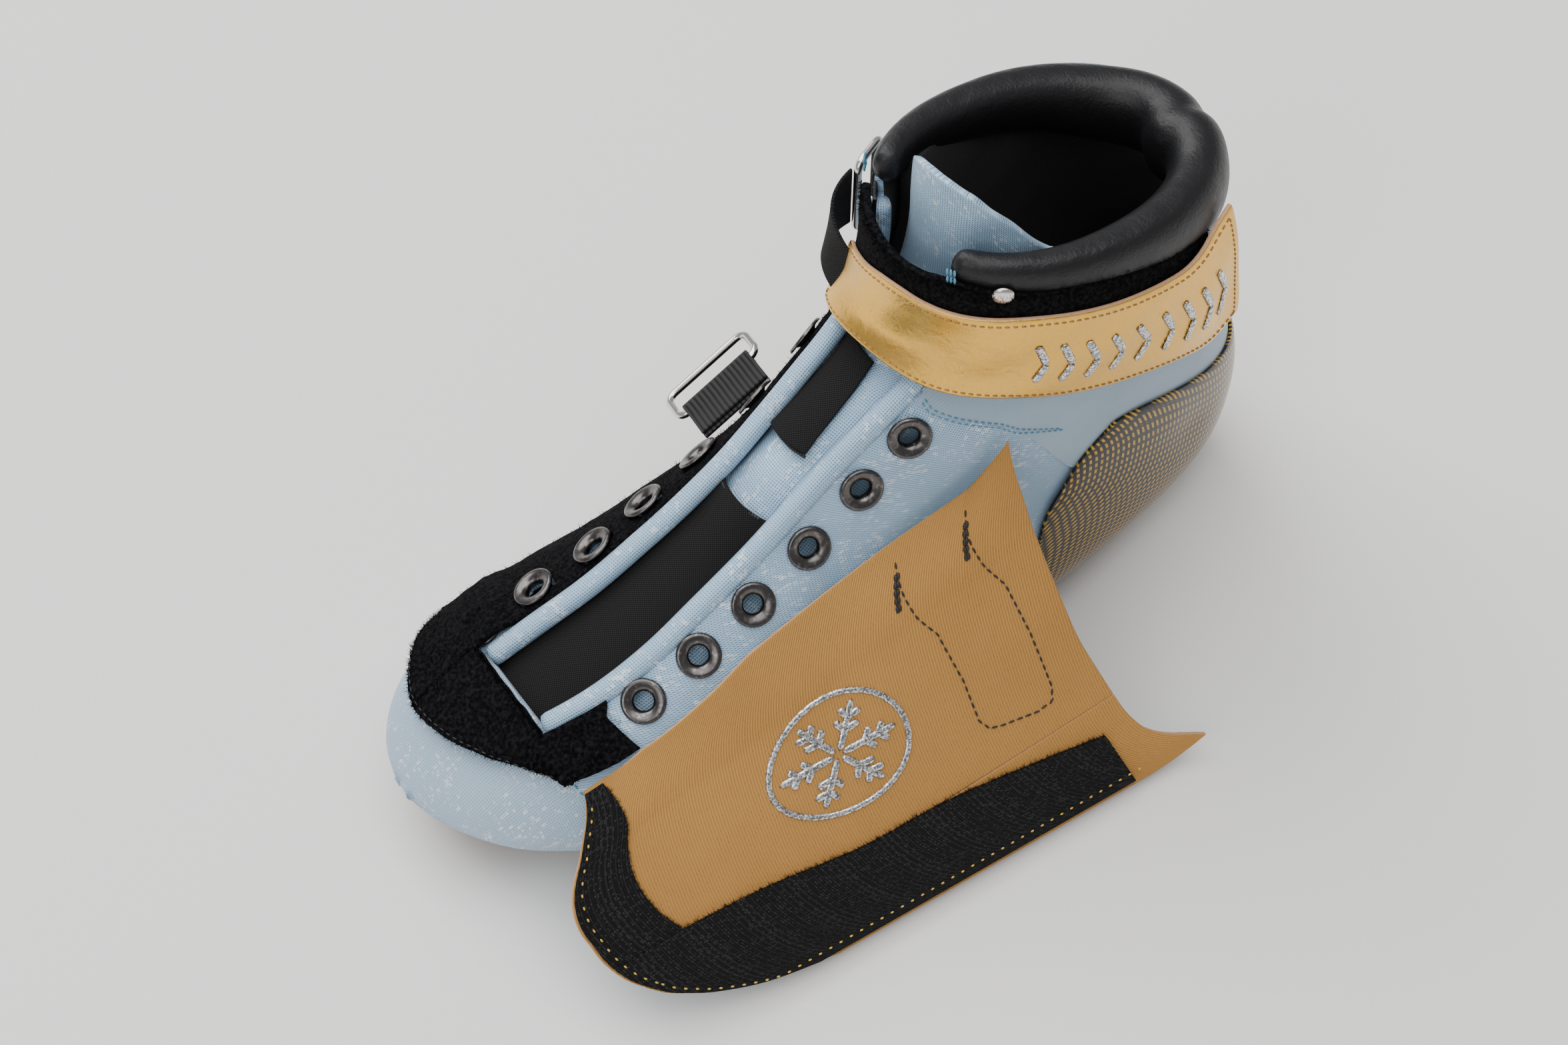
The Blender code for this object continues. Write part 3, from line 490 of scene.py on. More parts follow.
def hook_cloth():
    """Black hook tape: rows of hooks, and a paler thread between every few rows."""
    finish = Finish("hook_cloth", colours().black, 0.7, 0.0, Specular_IOR_Level=0.18)
    along, across = finish.cloth()
    hooks = finish.times(finish.wave(along, 0.00085, 1.5), finish.wave(across, 0.0006, 1.5))
    cell = finish.speck(finish.times(along, 1 / 0.00085), finish.times(across, 1 / 0.0006))
    glint = finish.times(hooks, finish.step(cell, 0.55, 0.95))
    line = finish.wave(along, 0.0018, 22.0)
    ground = finish.mix(glint, (0.003, 0.003, 0.0035), (0.050, 0.048, 0.048))
    finish.colour(finish.mix(finish.times(line, 0.5), ground, (0.035, 0.034, 0.034)))
    finish.bump(finish.math("ADD", hooks, finish.times(line, 0.6)), 0.0005, 0.8)
    return finish


def loop_cloth():
    finish = Finish("loop_cloth", colours().black, 0.95, 0.0, Specular_IOR_Level=0.06)
    tuft = finish.noise(900, 4.0)
    finish.colour(finish.mix(finish.step(tuft, 0.35, 0.75), (0.0015, 0.0015, 0.002), (0.012, 0.012, 0.0135)))
    finish.bump(tuft, 0.0009, 0.9)
    finish.bump(finish.noise(260, 3.0), 0.0009, 0.5)
    return finish


def black_webbing():
    """Plain-woven tape with diagonal gaps between its threads, painted near black as painted shade."""
    finish = Finish("black_webbing", colours().black, 0.75, 0.0, Specular_IOR_Level=0.12)
    along, across = finish.cloth()
    pitch = sizes().webbing
    plus, minus = finish.math("ADD", along, across), finish.math("SUBTRACT", along, across)
    gap = finish.times(finish.wave(plus, pitch, 1.5), finish.wave(minus, pitch, 1.5))
    # Painted shade: the gaps between threads, the hollows of the bump, are painted near black.
    finish.colour(finish.mix(gap, (0.019, 0.018, 0.018), (0.0008, 0.0008, 0.0008)))
    finish.bump(finish.math("SUBTRACT", 1.0, gap), 0.0003, 0.8)
    return finish


def ribbed_elastic():
    finish = Finish("ribbed_elastic", colours().black, 0.65, 0.0, Specular_IOR_Level=0.3)
    along, across = finish.cloth()
    rib = finish.wave(across, 0.0016, 0.7)
    thread = finish.wave(along, 0.0005)
    finish.colour(finish.mix(finish.times(rib, thread), (0.004, 0.004, 0.004), (0.030, 0.029, 0.029)))
    finish.bump(rib, 0.0005, 0.9)
    return finish


def lining_cloth():
    finish = Finish("lining_cloth", colours().black, 0.8, 0.0, Sheen_Weight=0.06)
    finish.colour(finish.mix(finish.noise(700, 3.0), (0.004, 0.004, 0.005), (0.014, 0.014, 0.016)))
    finish.bump(finish.cells(1300), 0.00016, 0.5)
    return finish


def woven_shell():
    """Black twill with amber tows that surface in staggered dashes, under a clear coat."""
    finish = Finish("woven_shell", (0.02, 0.02, 0.018), 0.5, 0.0, Specular_IOR_Level=0.2, Coat_Weight=0.6,
                    Coat_Roughness=0.08)
    along, across = finish.cloth()
    tow = sizes().tow
    row = finish.math("FLOOR", finish.times(across, 1 / tow))
    lift = finish.math("SUBTRACT", finish.times(across, 1 / tow), finish.math("ADD", row, 0.5))
    shift = finish.math("ADD", finish.times(along, 0.78 / tow), finish.times(row, 0.5))
    lean = finish.math("ADD", shift, finish.times(lift, 0.35))
    reach = finish.math("ABSOLUTE", finish.math("SUBTRACT", finish.math("FRACT", lean), 0.5))
    rise = finish.math("ABSOLUTE", lift)
    dash = finish.times(finish.step(reach, 0.31, 0.26), finish.step(rise, 0.23, 0.17))
    between = finish.math("SUBTRACT", finish.math("FRACT", finish.math("ADD", lean, 0.5)), 0.5)
    narrow = finish.step(finish.math("ABSOLUTE", between), 0.08, 0.05)
    thin = finish.times(narrow, finish.step(rise, 0.30, 0.22))
    faint = finish.times(thin, finish.step(finish.noise(130, 3.0), 0.42, 0.6), 0.35)
    band = finish.wave(across, tow)
    ground = finish.mix(band, (0.004, 0.004, 0.0035), (0.016, 0.015, 0.012))
    amber = tuple(colours().amber)
    wear = finish.math("ADD", 0.65, finish.times(finish.noise(500, 3.0), 0.5))
    dim = finish.mix(faint, ground, (0.20, 0.13, 0.04))
    finish.colour(finish.mix(finish.times(dash, wear), dim, amber))
    finish.bump(band, 0.0001, 0.3)
    finish.bump(finish.noise(45, 2.0), 0.0012, 0.08)
    return finish


def plain_metal(name, colour, low, high, scale=400):
    finish = Finish(name, colour, low, 1.0)
    finish.rough(finish.noise(scale, 4.0), low, high)
    finish.bump(finish.noise(scale * 2, 3.0), 0.00005, 0.25)
    return finish


def nickel():
    return plain_metal("nickel", (0.74, 0.71, 0.66), 0.13, 0.26)


def gunmetal():
    finish = plain_metal("gunmetal", (0.115, 0.108, 0.105), 0.2, 0.36, 250)
    worn = finish.step(finish.noise(900, 3.0), 0.5, 0.75)
    finish.colour(finish.mix(worn, (0.10, 0.094, 0.092), (0.22, 0.20, 0.19)))
    return finish


def aluminium():
    return plain_metal("aluminium", (0.72, 0.73, 0.75), 0.28, 0.44)


def fibreboard():
    finish = Finish("fibreboard", (0.20, 0.15, 0.10), 0.85)
    finish.colour(finish.mix(finish.noise(500, 4.0), (0.12, 0.09, 0.06), (0.28, 0.21, 0.14)))
    finish.bump(finish.noise(900, 3.0), 0.0002, 0.4)
    return finish


def twisted_thread(name, colour, roughness=0.55, metallic=0.0):
    finish = Finish(name, colour, roughness, metallic)
    dark = tuple(0.5 * channel for channel in colour)
    finish.colour(finish.mix(finish.noise(2600, 2.0), dark, tuple(min(1, 1.25 * c) for c in colour)))
    finish.bump(finish.noise(3000, 2.0), 0.0001, 0.6)
    return finish


def glitter_thread():
    """Silver embroidery: a facet for each twist of the foil thread."""
    finish = Finish("glitter_thread", (0.6, 0.6, 0.6), 0.3, 0.85)
    facet = finish.cells(2600, "Color")
    split = finish.tree.nodes.new("ShaderNodeSeparateColor")
    finish.tree.links.new(facet, split.inputs[0])
    finish.colour(finish.mix(finish.step(split.outputs[0], 0.2, 0.9), (0.20, 0.20, 0.21), (0.95, 0.95, 0.95)))
    finish.bump(split.outputs[1], 0.0004, 0.9)
    return finish


MAKERS = {
    "shimmer": shimmer_cloth, "toe": toe_cloth, "ankle": ankle_cloth, "leather": black_leather,
    "gold": gold_leather, "cut": cut_leather, "suede": ribbed_suede, "hook": hook_cloth,
    "loop": loop_cloth, "webbing": black_webbing, "elastic": ribbed_elastic, "lining": lining_cloth,
    "shell": woven_shell, "nickel": nickel, "gunmetal": gunmetal, "aluminium": aluminium,
    "board": fibreboard, "glitter": glitter_thread,
    "blue thread": lambda: twisted_thread("blue_thread", tuple(colours().blue_thread)),
    "yellow thread": lambda: twisted_thread("yellow_thread", tuple(colours().yellow_thread)),
    "black thread": lambda: twisted_thread("black_thread", (0.012, 0.012, 0.012)),
    "gold thread": lambda: twisted_thread("gold_thread", (0.36, 0.21, 0.07), 0.4, 0.4),
}


def material(name):
    if name not in FINISHES:
        FINISHES[name] = MAKERS[name]().material
    return FINISHES[name]


# Making pieces

def new_piece(name, shape, *finishes):
    mesh = bpy.data.meshes.new(name)
    shape.to_mesh(mesh)
    shape.free()
    mesh.shade_smooth()
    piece = bpy.data.objects.new(name, mesh)
    bpy.context.scene.collection.objects.link(piece)
    for finish in finishes:
        mesh.materials.append(material(finish))
    return piece


def settle(piece):
    """Applies the modifiers and keeps hard edges crisp."""
    graph = bpy.context.evaluated_depsgraph_get()
    mesh = bpy.data.meshes.new_from_object(piece.evaluated_get(graph), preserve_all_data_layers=True,
                                           depsgraph=graph)
    piece.modifiers.clear()
    piece.data = mesh
    mesh.shade_smooth()
    mesh.set_sharp_from_angle(angle=math.radians(48))
    return piece


def thicken(piece, wall, offset=-1.0, rim=0, inside=0, soft=0.35):
    """Gives an open sheet its wall and rounds the cut edge."""
    solidify = piece.modifiers.new("wall", "SOLIDIFY")
    solidify.thickness = wall
    solidify.offset = offset
    solidify.material_offset_rim = rim
    solidify.material_offset = inside
    if soft:
        bevel = piece.modifiers.new("edge", "BEVEL")
        bevel.width = wall * soft
        bevel.segments = 2
        bevel.limit_method = "ANGLE"
        bevel.angle_limit = math.radians(58)
    return settle(piece)


def sheet(name, rows, columns, place, finishes, keep=None, turned_over=False, weld=False):
    """An open sheet: a grid put in place by a function of two shares, with a cloth map in metres."""
    shape = bmesh.new()
    bmesh.ops.create_grid(shape, x_segments=rows, y_segments=columns, size=1)
    shares = np.meshgrid(np.linspace(0, 1, rows + 1), np.linspace(0, 1, columns + 1), indexing="ij")
    points = np.asarray(place(*shares))
    runs = []
    for axis in (0, 1):
        steps = np.linalg.norm(np.diff(points, axis=axis), axis=-1)
        run = np.insert(np.cumsum(steps, axis=axis), 0, 0, axis=axis)
        middle = np.take(run, [run.shape[axis] // 2], axis=axis)
        runs.append(run - middle)
    spots = {}
    for vertex in shape.verts:
        spots[vertex] = (round((vertex.co.x + 1) / 2 * rows), round((vertex.co.y + 1) / 2 * columns))
    cloth = shape.loops.layers.uv.new("Cloth")
    for face in shape.faces:
        for loop in face.loops:
            spot = spots[loop.vert]
            loop[cloth].uv = (runs[0][spot], runs[1][spot])
    if keep is not None:
        kept = keep(*shares, points) if callable(keep) else keep
        dropped = [f for f in shape.faces if not all(kept[spots[v]] for v in f.verts)]
    for vertex, spot in spots.items():
        vertex.co = points[spot]
    if keep is not None:
        bmesh.ops.delete(shape, geom=dropped, context="FACES")
        bmesh.ops.delete(shape, geom=[v for v in shape.verts if not v.link_faces], context="VERTS")
    if turned_over:
        bmesh.ops.reverse_faces(shape, faces=shape.faces)
    if weld:
        bmesh.ops.remove_doubles(shape, verts=shape.verts, dist=1e-6)
        bmesh.ops.recalc_face_normals(shape, faces=shape.faces)
    return new_piece(name, shape, *finishes)


def boot_sheet(name, rows, columns, along, angles, out, finishes, keep=None, uneven=0.0):
    """A sheet that follows the boot between two places along it and two angles. Each may be a
    function: along of the share round, angles of the place along, out of both."""
    def place(first, second):
        start, end = (edge(second) if callable(edge) else edge for edge in along)
        place_along = start + (end - start) * first
        low, high = (edge(place_along) if callable(edge) else edge for edge in angles)
        angle = low + (high - low) * second
        height = out(place_along, angle) if callable(out) else out
        if uneven:
            height = height + ripple(on_boot(place_along, angle), uneven)
        return skin(place_along, angle, height)
    return sheet(name, rows, columns, place, finishes, keep)


def tube(name, points, ups, half_side, half_up, finish, columns=14, squareness=2.0):
    """A closed rope-like form along points. half_side and half_up may change along it, and where
    they reach nothing the end closes."""
    points = np.asarray(points, float)
    ahead = unit(np.gradient(points, axis=0))
    side = unit(np.cross(ahead, np.broadcast_to(ups, points.shape)))
    up = np.cross(side, ahead)
    half_side = np.broadcast_to(half_side, len(points))[:, None, None]
    half_up = np.broadcast_to(half_up, len(points))[:, None, None]
    power = 2 / squareness

    def place(_, second):
        turn = (math.tau * second)[..., None]
        wide = np.sign(np.cos(turn)) * np.abs(np.cos(turn)) ** power
        high = np.sign(np.sin(turn)) * np.abs(np.sin(turn)) ** power
        return points[:, None] + side[:, None] * half_side * wide + up[:, None] * half_up * high
    return sheet(name, len(points) - 1, columns, place, (finish,), weld=True)


def rounded(count, size, ends=0.12):
    """A half size that closes to nothing at both ends."""
    share = np.linspace(0, 1, count)
    edge = np.clip(np.minimum(share, 1 - share) / ends, 0, 1)
    return size * np.sqrt(1 - (1 - edge) ** 2)


def ring_tube(name, points, normal, radius, finish, columns=12):
    """A closed ring of round wire."""
    points = np.asarray(points, float)
    ahead = unit(np.roll(points, -1, axis=0) - np.roll(points, 1, axis=0))
    side = unit(np.cross(ahead, normal))
    looped = np.vstack([points, points[:1]])
    sides = np.vstack([side, side[:1]])

    def place(_, second):
        turn = (math.tau * second)[..., None]
        return looped[:, None] + radius * (sides[:, None] * np.cos(turn) + np.asarray(normal) * np.sin(turn))
    return sheet(name, len(looped) - 1, columns, place, (finish,), weld=True)


def spaced(points, pitch):
    """Points a pitch apart along a line of points, and the line's direction at each."""
    points = np.asarray(points, float)
    run = np.insert(np.cumsum(np.linalg.norm(np.diff(points, axis=0), axis=1)), 0, 0)
    places = np.arange(pitch / 2, run[-1], pitch)
    spots = np.stack([np.interp(places, run, points[:, i]) for i in range(3)], -1)
    ahead = np.stack([np.interp(np.minimum(places + pitch / 4, run[-1]), run, points[:, i])
                      - np.interp(places - pitch / 4, run, points[:, i]) for i in range(3)], -1)
    return spots, unit(ahead), places / run[-1]


def stitches(name, lines, finish, pitch=None, radius=None, cover=0.72):
    """Sewing stitches along lines, each a pair of points and outward directions."""
    pitch, radius = pitch or sizes().stitch, radius or sizes().thread
    shape = bmesh.new()
    for points, ups in lines:
        spots, ahead, shares = spaced(points, pitch)
        ups = np.broadcast_to(ups, np.shape(points))
        places = np.linspace(0, 1, len(ups))
        for spot, direction, share in zip(spots, ahead, shares):
            up = Vector([np.interp(share, places, ups[:, i]) for i in range(3)])
            x = Vector(direction)
            y = up.cross(x).normalized()
            pose = Matrix((x, y, x.cross(y))).transposed().to_4x4()
            size = Matrix.Diagonal((pitch * cover / 2, radius, radius, 1))
            bmesh.ops.create_uvsphere(shape, u_segments=6, v_segments=5, radius=1,
                                      matrix=Matrix.Translation(spot) @ pose @ size)
    return new_piece(name, shape, finish)


def skin_line(rows, out, count=80):
    """A line on the boot through places along it and angles, with its outward directions."""
    rows = np.array(rows, float)
    share = np.linspace(0, len(rows) - 1, count)
    along = np.interp(share, range(len(rows)), rows[:, 0])
    angle = np.interp(share, range(len(rows)), rows[:, 1])
    for line in (along, angle):
        line[1:-1] = (line[:-2] + line[1:-1] + line[2:]) / 3
    return skin(along, angle, out), outwards(along, angle)


def fit(piece, body, slot, *nodes):
    """Says what a finished piece moves with and which solids it stands for. The slot is not used."""
    if body:
        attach(piece, body)
    if nodes:
        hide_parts(*nodes)
    return piece


def refinish(node, finish):
    """Gives a solid of the frame its finish."""
    piece = frame["nodes"][node]
    if not piece.material_slots:
        piece.data.materials.append(material(finish))
    for holder in piece.material_slots:
        holder.material = material(finish)


# Shell, sole and mounting blocks

SHELL_END = 0.90
SHELL_RIM_OUT = 0.0017
SHELL_SHEET = 0.0010
BOARD_WALL, BED_WALL = 0.0016, 0.0032
BED_DEPTH = BOARD_WALL + GAP + LAYER_GAP + 0.0003
SHELL_OUTER_EDGE = ((SHELL_TOP, 92), (0.30, 85), (0.36, 82), (0.43, 84), (0.55, 103), (0.70, 122),
                    (0.80, 140), (SHELL_END, 156))
SHELL_INNER_EDGE = ((SHELL_TOP, 92), (0.30, 84), (0.36, 80), (0.45, 79), (0.58, 98), (0.70, 120),
                    (0.80, 140), (SHELL_END, 156))


def shell_edge(along, outer=True):
    """Angle of the shell's top edge: high round the heel, low along the waist, under at the toe."""
    rows = np.array(SHELL_OUTER_EDGE if outer else SHELL_INNER_EDGE).T
    return sum(np.interp(along + shift, *rows) for shift in (-0.03, -0.015, 0, 0.015, 0.03)) / 5


def carbon_shell():
    """Woven shell in one piece: heel cup, both sides and sole, rounded over at its edge."""
    def place(first, second):
        corner = np.clip(np.minimum(second, 1 - second) / 0.11, 0, 1)
        start = SHELL_TOP + 0.022 * (1 - np.sqrt(1 - (1 - corner) ** 2))
        along = start + (SHELL_END - start) * first
        low, high = shell_edge(along), 360 - shell_edge(along, False)
        angle = low + (high - low) * second
        dent = 0.0012 * np.exp(-((along - 0.31) / 0.045) ** 2 - ((angle - 116) / 11) ** 2)
        rim = np.minimum(np.minimum(first * 9, (1 - first) * 30), np.minimum(second, 1 - second) * 16)
        rise = SHELL_RIM_OUT + (SHELL_OUT - SHELL_RIM_OUT) * np.sqrt(1 - (1 - np.clip(rim, 0, 1)) ** 2)
        return skin(along, angle, rise - dent * np.clip(rim, 0, 1))
    shell = sheet("moulded_shell", 150, 130, place, ("shell",))
    fit(thicken(shell, SHELL_SHEET), "boot", "carbon", "carbon_shell")


def sole_pieces():
    """Mounting blocks with their inserts, the insole board, the toe puff and the footbed."""
    for node in ("front_mount_block", "rear_mount_block"):
        refinish(node, "aluminium")
    for end in ("front", "rear"):
        for number in (1, 2):
            refinish(f"{end}_mount_insert_{number}", "nickel")
    board = boot_sheet("stiff_insole", 40, 20, (0.47, 0.93), (152, 208), -GAP, ("board",))
    fit(thicken(board, BOARD_WALL), "boot", "board", "insole_board")
    refinish("toe_puff", "board")
    bed = boot_sheet("cushioned_footbed", 50, 36, (0.45, 0.93), (124, 236), -BED_DEPTH, ("lining",),
                     uneven=0.0003)
    fit(thicken(bed, BED_WALL), "boot", "lining", "footbed")


# Upper

EYELET_HOLE = 0.0041
PANEL_FRONT = ((24, 0.215), (32, 0.232), (44, 0.240), (58, 0.246), (66, 0.262), (74, 0.300), (82, 0.34),
               (92, 0.36))
INNER_PANEL_FRONT = ((26, 0.215), (34, 0.232), (58, 0.246), (66, 0.262), (74, 0.300), (82, 0.34), (92, 0.36))
PANEL_START, PANEL_TOP, PANEL_OUT, PANEL_WALL = 24, 0.004, 0.0006, 0.0009


def throat_clear(along, outer):
    edge = opening(along, outer)
    return edge + (1 if outer else -1) * turn_for(along, edge, sizes().piping * 0.6)


def quarter(name, outer):
    """One side of the upper, from the throat's edge down inside the shell, with eyelet holes."""
    side = 1 if outer else -1
    row = OUTER_EYELETS if outer else INNER_EYELETS
    centres = np.array([skin(*spot) for spot in row])

    def lower_edge(along):
        return side * np.interp(along, (0.06, 0.24, 0.30, 0.45, 0.76), (180, 180, 165, 120, 124))

    def keep(first, second, points):
        away = np.linalg.norm(points[:, :, None] - centres, axis=-1).min(axis=-1)
        return away > EYELET_HOLE

    def out(along, angle):
        points = on_boot(along, angle)
        away = np.linalg.norm(points[:, :, None] - centres, axis=-1).min(axis=-1)
        return -0.0004 * np.exp(-(away / 0.008) ** 2)
    edges = (lambda a: throat_clear(a, outer), lower_edge)
    edges = edges if outer else edges[::-1]
    piece = boot_sheet(name, 190, 84, (0.0, THROAT_END + 0.010), edges, out, ("shimmer", "lining"), keep,
                       0.00018)
    thicken(piece, UPPER_WALL, inside=1, soft=0.2)
    fit(piece, "boot", "upper_fabric", "outer_quarter" if outer else "inner_quarter")


def ankle_panel(name, outer):
    """Plain knit panel sewn over the quarter round the ankle, down to the shell."""
    side = 1 if outer else -1
    front = np.array(PANEL_FRONT if outer else INNER_PANEL_FRONT).T

    def place(first, second):
        angle = PANEL_START + (180 - PANEL_START) * second
        along = PANEL_TOP + (np.interp(angle, *front) - PANEL_TOP) * first
        angle = side * np.maximum(angle, np.abs(throat_clear(along, outer)) + 1.0)
        return skin(along, angle, PANEL_OUT + ripple(on_boot(along, angle), 0.00012))
    piece = sheet(name, 100, 110, place, ("ankle",), turned_over=not outer)
    fit(thicken(piece, PANEL_WALL), "boot", "upper_fabric")


def toe():
    """Toe of the upper, with fine pulls where it is drawn under the sole."""
    def out(along, angle):
        pull = np.clip((np.abs(angle) - 62) / 40, 0, 1)
        pulls = 0.00018 * pull * np.sin(np.radians(angle) * 34)
        return ripple(on_boot(along, angle), 0.00012) + pulls - 0.0005
    piece = boot_sheet("toe_cap", 96, 170, (THROAT_END - 0.004, 0.999), (-146, 146), out, ("toe",))
    fit(thicken(piece, UPPER_WALL, soft=0.2), "boot", "upper_fabric", "vamp")


def linings():
    """Thin lining of each side, and the thick padding round the ankle with its hollows."""
    depth = UPPER_WALL + LAYER_GAP
    for name, outer in (("outer_lining", True), ("inner_lining", False)):
        side = 1 if outer else -1
        edges = (lambda a: side * (np.abs(opening(a, outer)) + 25), side * 102)
        edges = edges if outer else edges[::-1]
        piece = boot_sheet(f"{name}_cloth", 60, 24, (0.30, THROAT_END), edges, -depth, ("lining",),
                           uneven=0.0003)
        fit(thicken(piece, LINING_WALL), "boot", "lining", name)

    def pad_out(along, angle):
        hollow = np.exp(-((np.abs(angle - 180) - 52) / 20) ** 2) * np.exp(-((along - 0.2) / 0.09) ** 2)
        return -depth - 2 * GAP + 0.0018 * hollow
    pad = boot_sheet("ankle_padding", 70, 90, (0.006, 0.36), (50, 310), pad_out, ("lining",), uneven=0.0004)
    fit(thicken(pad, HEEL_PAD_WALL), "boot", "lining", "heel_pad")


def piping():
    """Rolled edge down each side of the throat."""
    radius = sizes().piping
    for name, outer in (("outer_piping", True), ("inner_piping", False)):
        along = np.linspace(0.028, THROAT_END - 0.003, 150)
        angle = opening(along, outer)
        points = skin(along, angle, -0.0008 + ripple(on_boot(along, angle), 0.0001))
        piece = tube(f"{name}_roll", points, outwards(along, angle), rounded(150, radius, 0.012),
                     rounded(150, radius * 0.9, 0.012), "shimmer", 20)
        fit(piece, "boot", "upper_fabric", name)


# Collar

COLLAR_START, COLLAR_END = 24, 326
COLLAR_SWELL, COLLAR_CAP = 0.93, 0.0008


def collar_form(swell=1.0):
    """Points, up directions and half sizes of the collar's roll."""
    turns = np.linspace(COLLAR_START, COLLAR_END, 130)
    back = (1 - np.cos(np.radians(turns))) / 2
    rim, below = skin(np.zeros(130), turns), skin(np.full(130, 0.04), turns)
    up = unit(rim - below)
    out = outwards(np.zeros(130), turns)
    half_width, half_height = 0.0038 + 0.0058 * back, 0.0052 + 0.0092 * back
    rise = 0.0095 - 0.0030 * back
    notch = 0.0036 * np.exp(-((turns - 171) / 4.5) ** 2)
    crest = 0.0016 * np.exp(-((turns - 160) / 14) ** 2)
    inner = 1 / (1 + np.exp(-(turns - 205) / 12))
    proud = 0.0020 + 0.0042 * back - 0.0052 * back * inner
    rise = rise - 0.0030 * inner * back
    middle = rim + up * (rise - half_height + crest)[:, None] + out * (proud - half_width - notch)[:, None]
    inset = np.minimum(turns - COLLAR_START, COLLAR_END - turns)
    ends = np.sqrt(1 - (1 - np.clip(inset / 5, 0, 1)) ** 2)
    return middle, up, half_width * ends * swell, half_height * ends * swell


def puff(piece, cap, frames=20):
    """Fills a padded form with a short cloth simulation, and caps how far a point may move."""
    remesh = piece.modifiers.new("remesh", "REMESH")
    remesh.mode = "VOXEL"
    remesh.voxel_size = 0.0016
    settle(piece)
    before = np.array([v.co for v in piece.data.vertices])
    cloth = piece.modifiers.new("cloth", "CLOTH")
    cloth.settings.use_pressure = True
    cloth.settings.uniform_pressure_force = 4.0
    cloth.settings.effector_weights.gravity = 0.0
    cloth.settings.tension_stiffness = 40
    cloth.settings.bending_stiffness = 0.2
    cloth.point_cache.frame_start, cloth.point_cache.frame_end = 1, frames
    for number in range(1, frames + 1):
        bpy.context.scene.frame_set(number)
    settle(piece)
    bpy.context.scene.frame_set(1)
    moved = np.array([v.co for v in piece.data.vertices]) - before
    length = np.linalg.norm(moved, axis=1, keepdims=True)
    capped = before + moved * np.minimum(1, cap / np.maximum(length, 1e-9))
    for vertex, point in zip(piece.data.vertices, capped):
        vertex.co = point
    shape = bmesh.new()
    shape.from_mesh(piece.data)
    for _ in range(3):
        bmesh.ops.smooth_vert(shape, verts=shape.verts, factor=0.5, use_axis_x=True, use_axis_y=True,
                              use_axis_z=True)
    shape.to_mesh(piece.data)
    shape.free()
    piece.data.shade_smooth()


def collar():
    """Padded roll, its facing and seam, a rivet and the tacks at its two ends."""
    middle, up, half_width, half_height = collar_form(COLLAR_SWELL)
    piece = tube("collar_roll", middle, up, half_width, half_height, "leather", 36, 2.3)
    puff(piece, COLLAR_CAP)
    fit(piece, "boot", "collar_leather", "collar_pad")
    turns = np.linspace(30, 320, 160)
    along = 0.012 + 0.034 * (1 - np.cos(np.radians(turns))) / 2
    line = skin(along, turns, 0.0019), outwards(along, turns)
    fit(stitches("collar_seam", [line], "black thread", 0.0026), "boot", "collar_leather")

    def band(first, second):
        angle = 26 + 308 * second
        back = (1 - np.cos(np.radians(angle))) / 2
        inner_front = 0.075 * np.exp(-((angle - 330) / 22) ** 2)
        along = 0.010 + (0.010 + 0.034 * back + inner_front) * first
        return skin(along, angle, 0.0008 + 0.0006 * np.sin(np.pi * first))
    piece = sheet("collar_facing", 16, 160, band, ("leather",))
    fit(thicken(piece, 0.0010), "boot", "collar_leather")
    shape = bmesh.new()
    bmesh.ops.create_uvsphere(shape, u_segments=28, v_segments=14, radius=1,
                              matrix=seat(0.004, 46.5, 0.0034) @ Matrix.Diagonal((0.0032, 0.0032, 0.0012, 1)))
    fit(new_piece("collar_rivet", shape, "nickel"), "boot", "nickel")
    tacks = []
    for angle in (27.5, -38.5):
        for share in (-0.6, 0.1, 0.8):
            along = np.linspace(-0.028, -0.006, 6)
            spots = skin(along, angle + share * 2.0, 0.0034)
            tacks.append((spots, outwards(along, angle + share * 2.0)))
    fit(stitches("collar_tacks", tacks, "blue thread", 0.0030, 0.00042, 0.95), "boot", "upper_fabric")


# Tongue

TONGUE_FOLD, TONGUE_DEPTH, TONGUE_LEAN = 0.20, 0.0062, 0.0032
TONGUE_TAPE_OUT = -TONGUE_DEPTH + WEBBING_WALL + 0.0010
TONGUE_EDGE = ((-40, -0.030), (-34.5, -0.044), (-20, -0.066), (-4, -0.080), (9, -0.084), (33, -0.074),
               (50, -0.048), (58, -0.031), (64.5, -0.012), (75, 0.010))


def tongue_out(along):
    lean = TONGUE_LEAN * np.clip((TONGUE_FOLD - along) / TONGUE_FOLD, 0, 2)
    return -TONGUE_DEPTH - lean


def tongue():
    """Padded tongue, which spreads above the throat and stands up in the collar's opening."""
    def place(first, second):
        end = THROAT_END + 0.03
        tip = eased(TONGUE_EDGE, -36 + 108 * second, 5)
        along = end + (tip - end) * first
        top = smooth(-along, -TONGUE_FOLD - 0.05, 0.05 - TONGUE_FOLD)
        low = -(np.abs(opening(along, False)) + 20) * (1 - top) - 36 * top
        high = (opening(along) + 22) * (1 - top) + 72 * top
        angle = low + (high - low) * second
        pillow = 0.0009 * np.sin(np.pi * second) * (1 - top)
        bulge = 0.0010 * np.exp(-((along - 0.41) / 0.03) ** 2) * np.sin(np.pi * second) ** 2
        height = tongue_out(along) + pillow + bulge + ripple(on_boot(along, angle), 0.00025)
        return skin(along, angle, height)
    piece = sheet("padded_tongue", 190, 56, place, ("shimmer", "lining"), turned_over=True)
    thicken(piece, TONGUE_WALL * 0.85, inside=1)
    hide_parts("tongue", "tongue_top")
    low, high = skin(TONGUE_FOLD + 0.03, 0, -0.006), skin(TONGUE_FOLD - 0.03, 0, -0.006)
    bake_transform(piece)


def half_turn(along, width):
    """Degrees on each side of a tape's middle."""
    return np.degrees(width / (section_at(along)[..., OUTER] * 2.05))


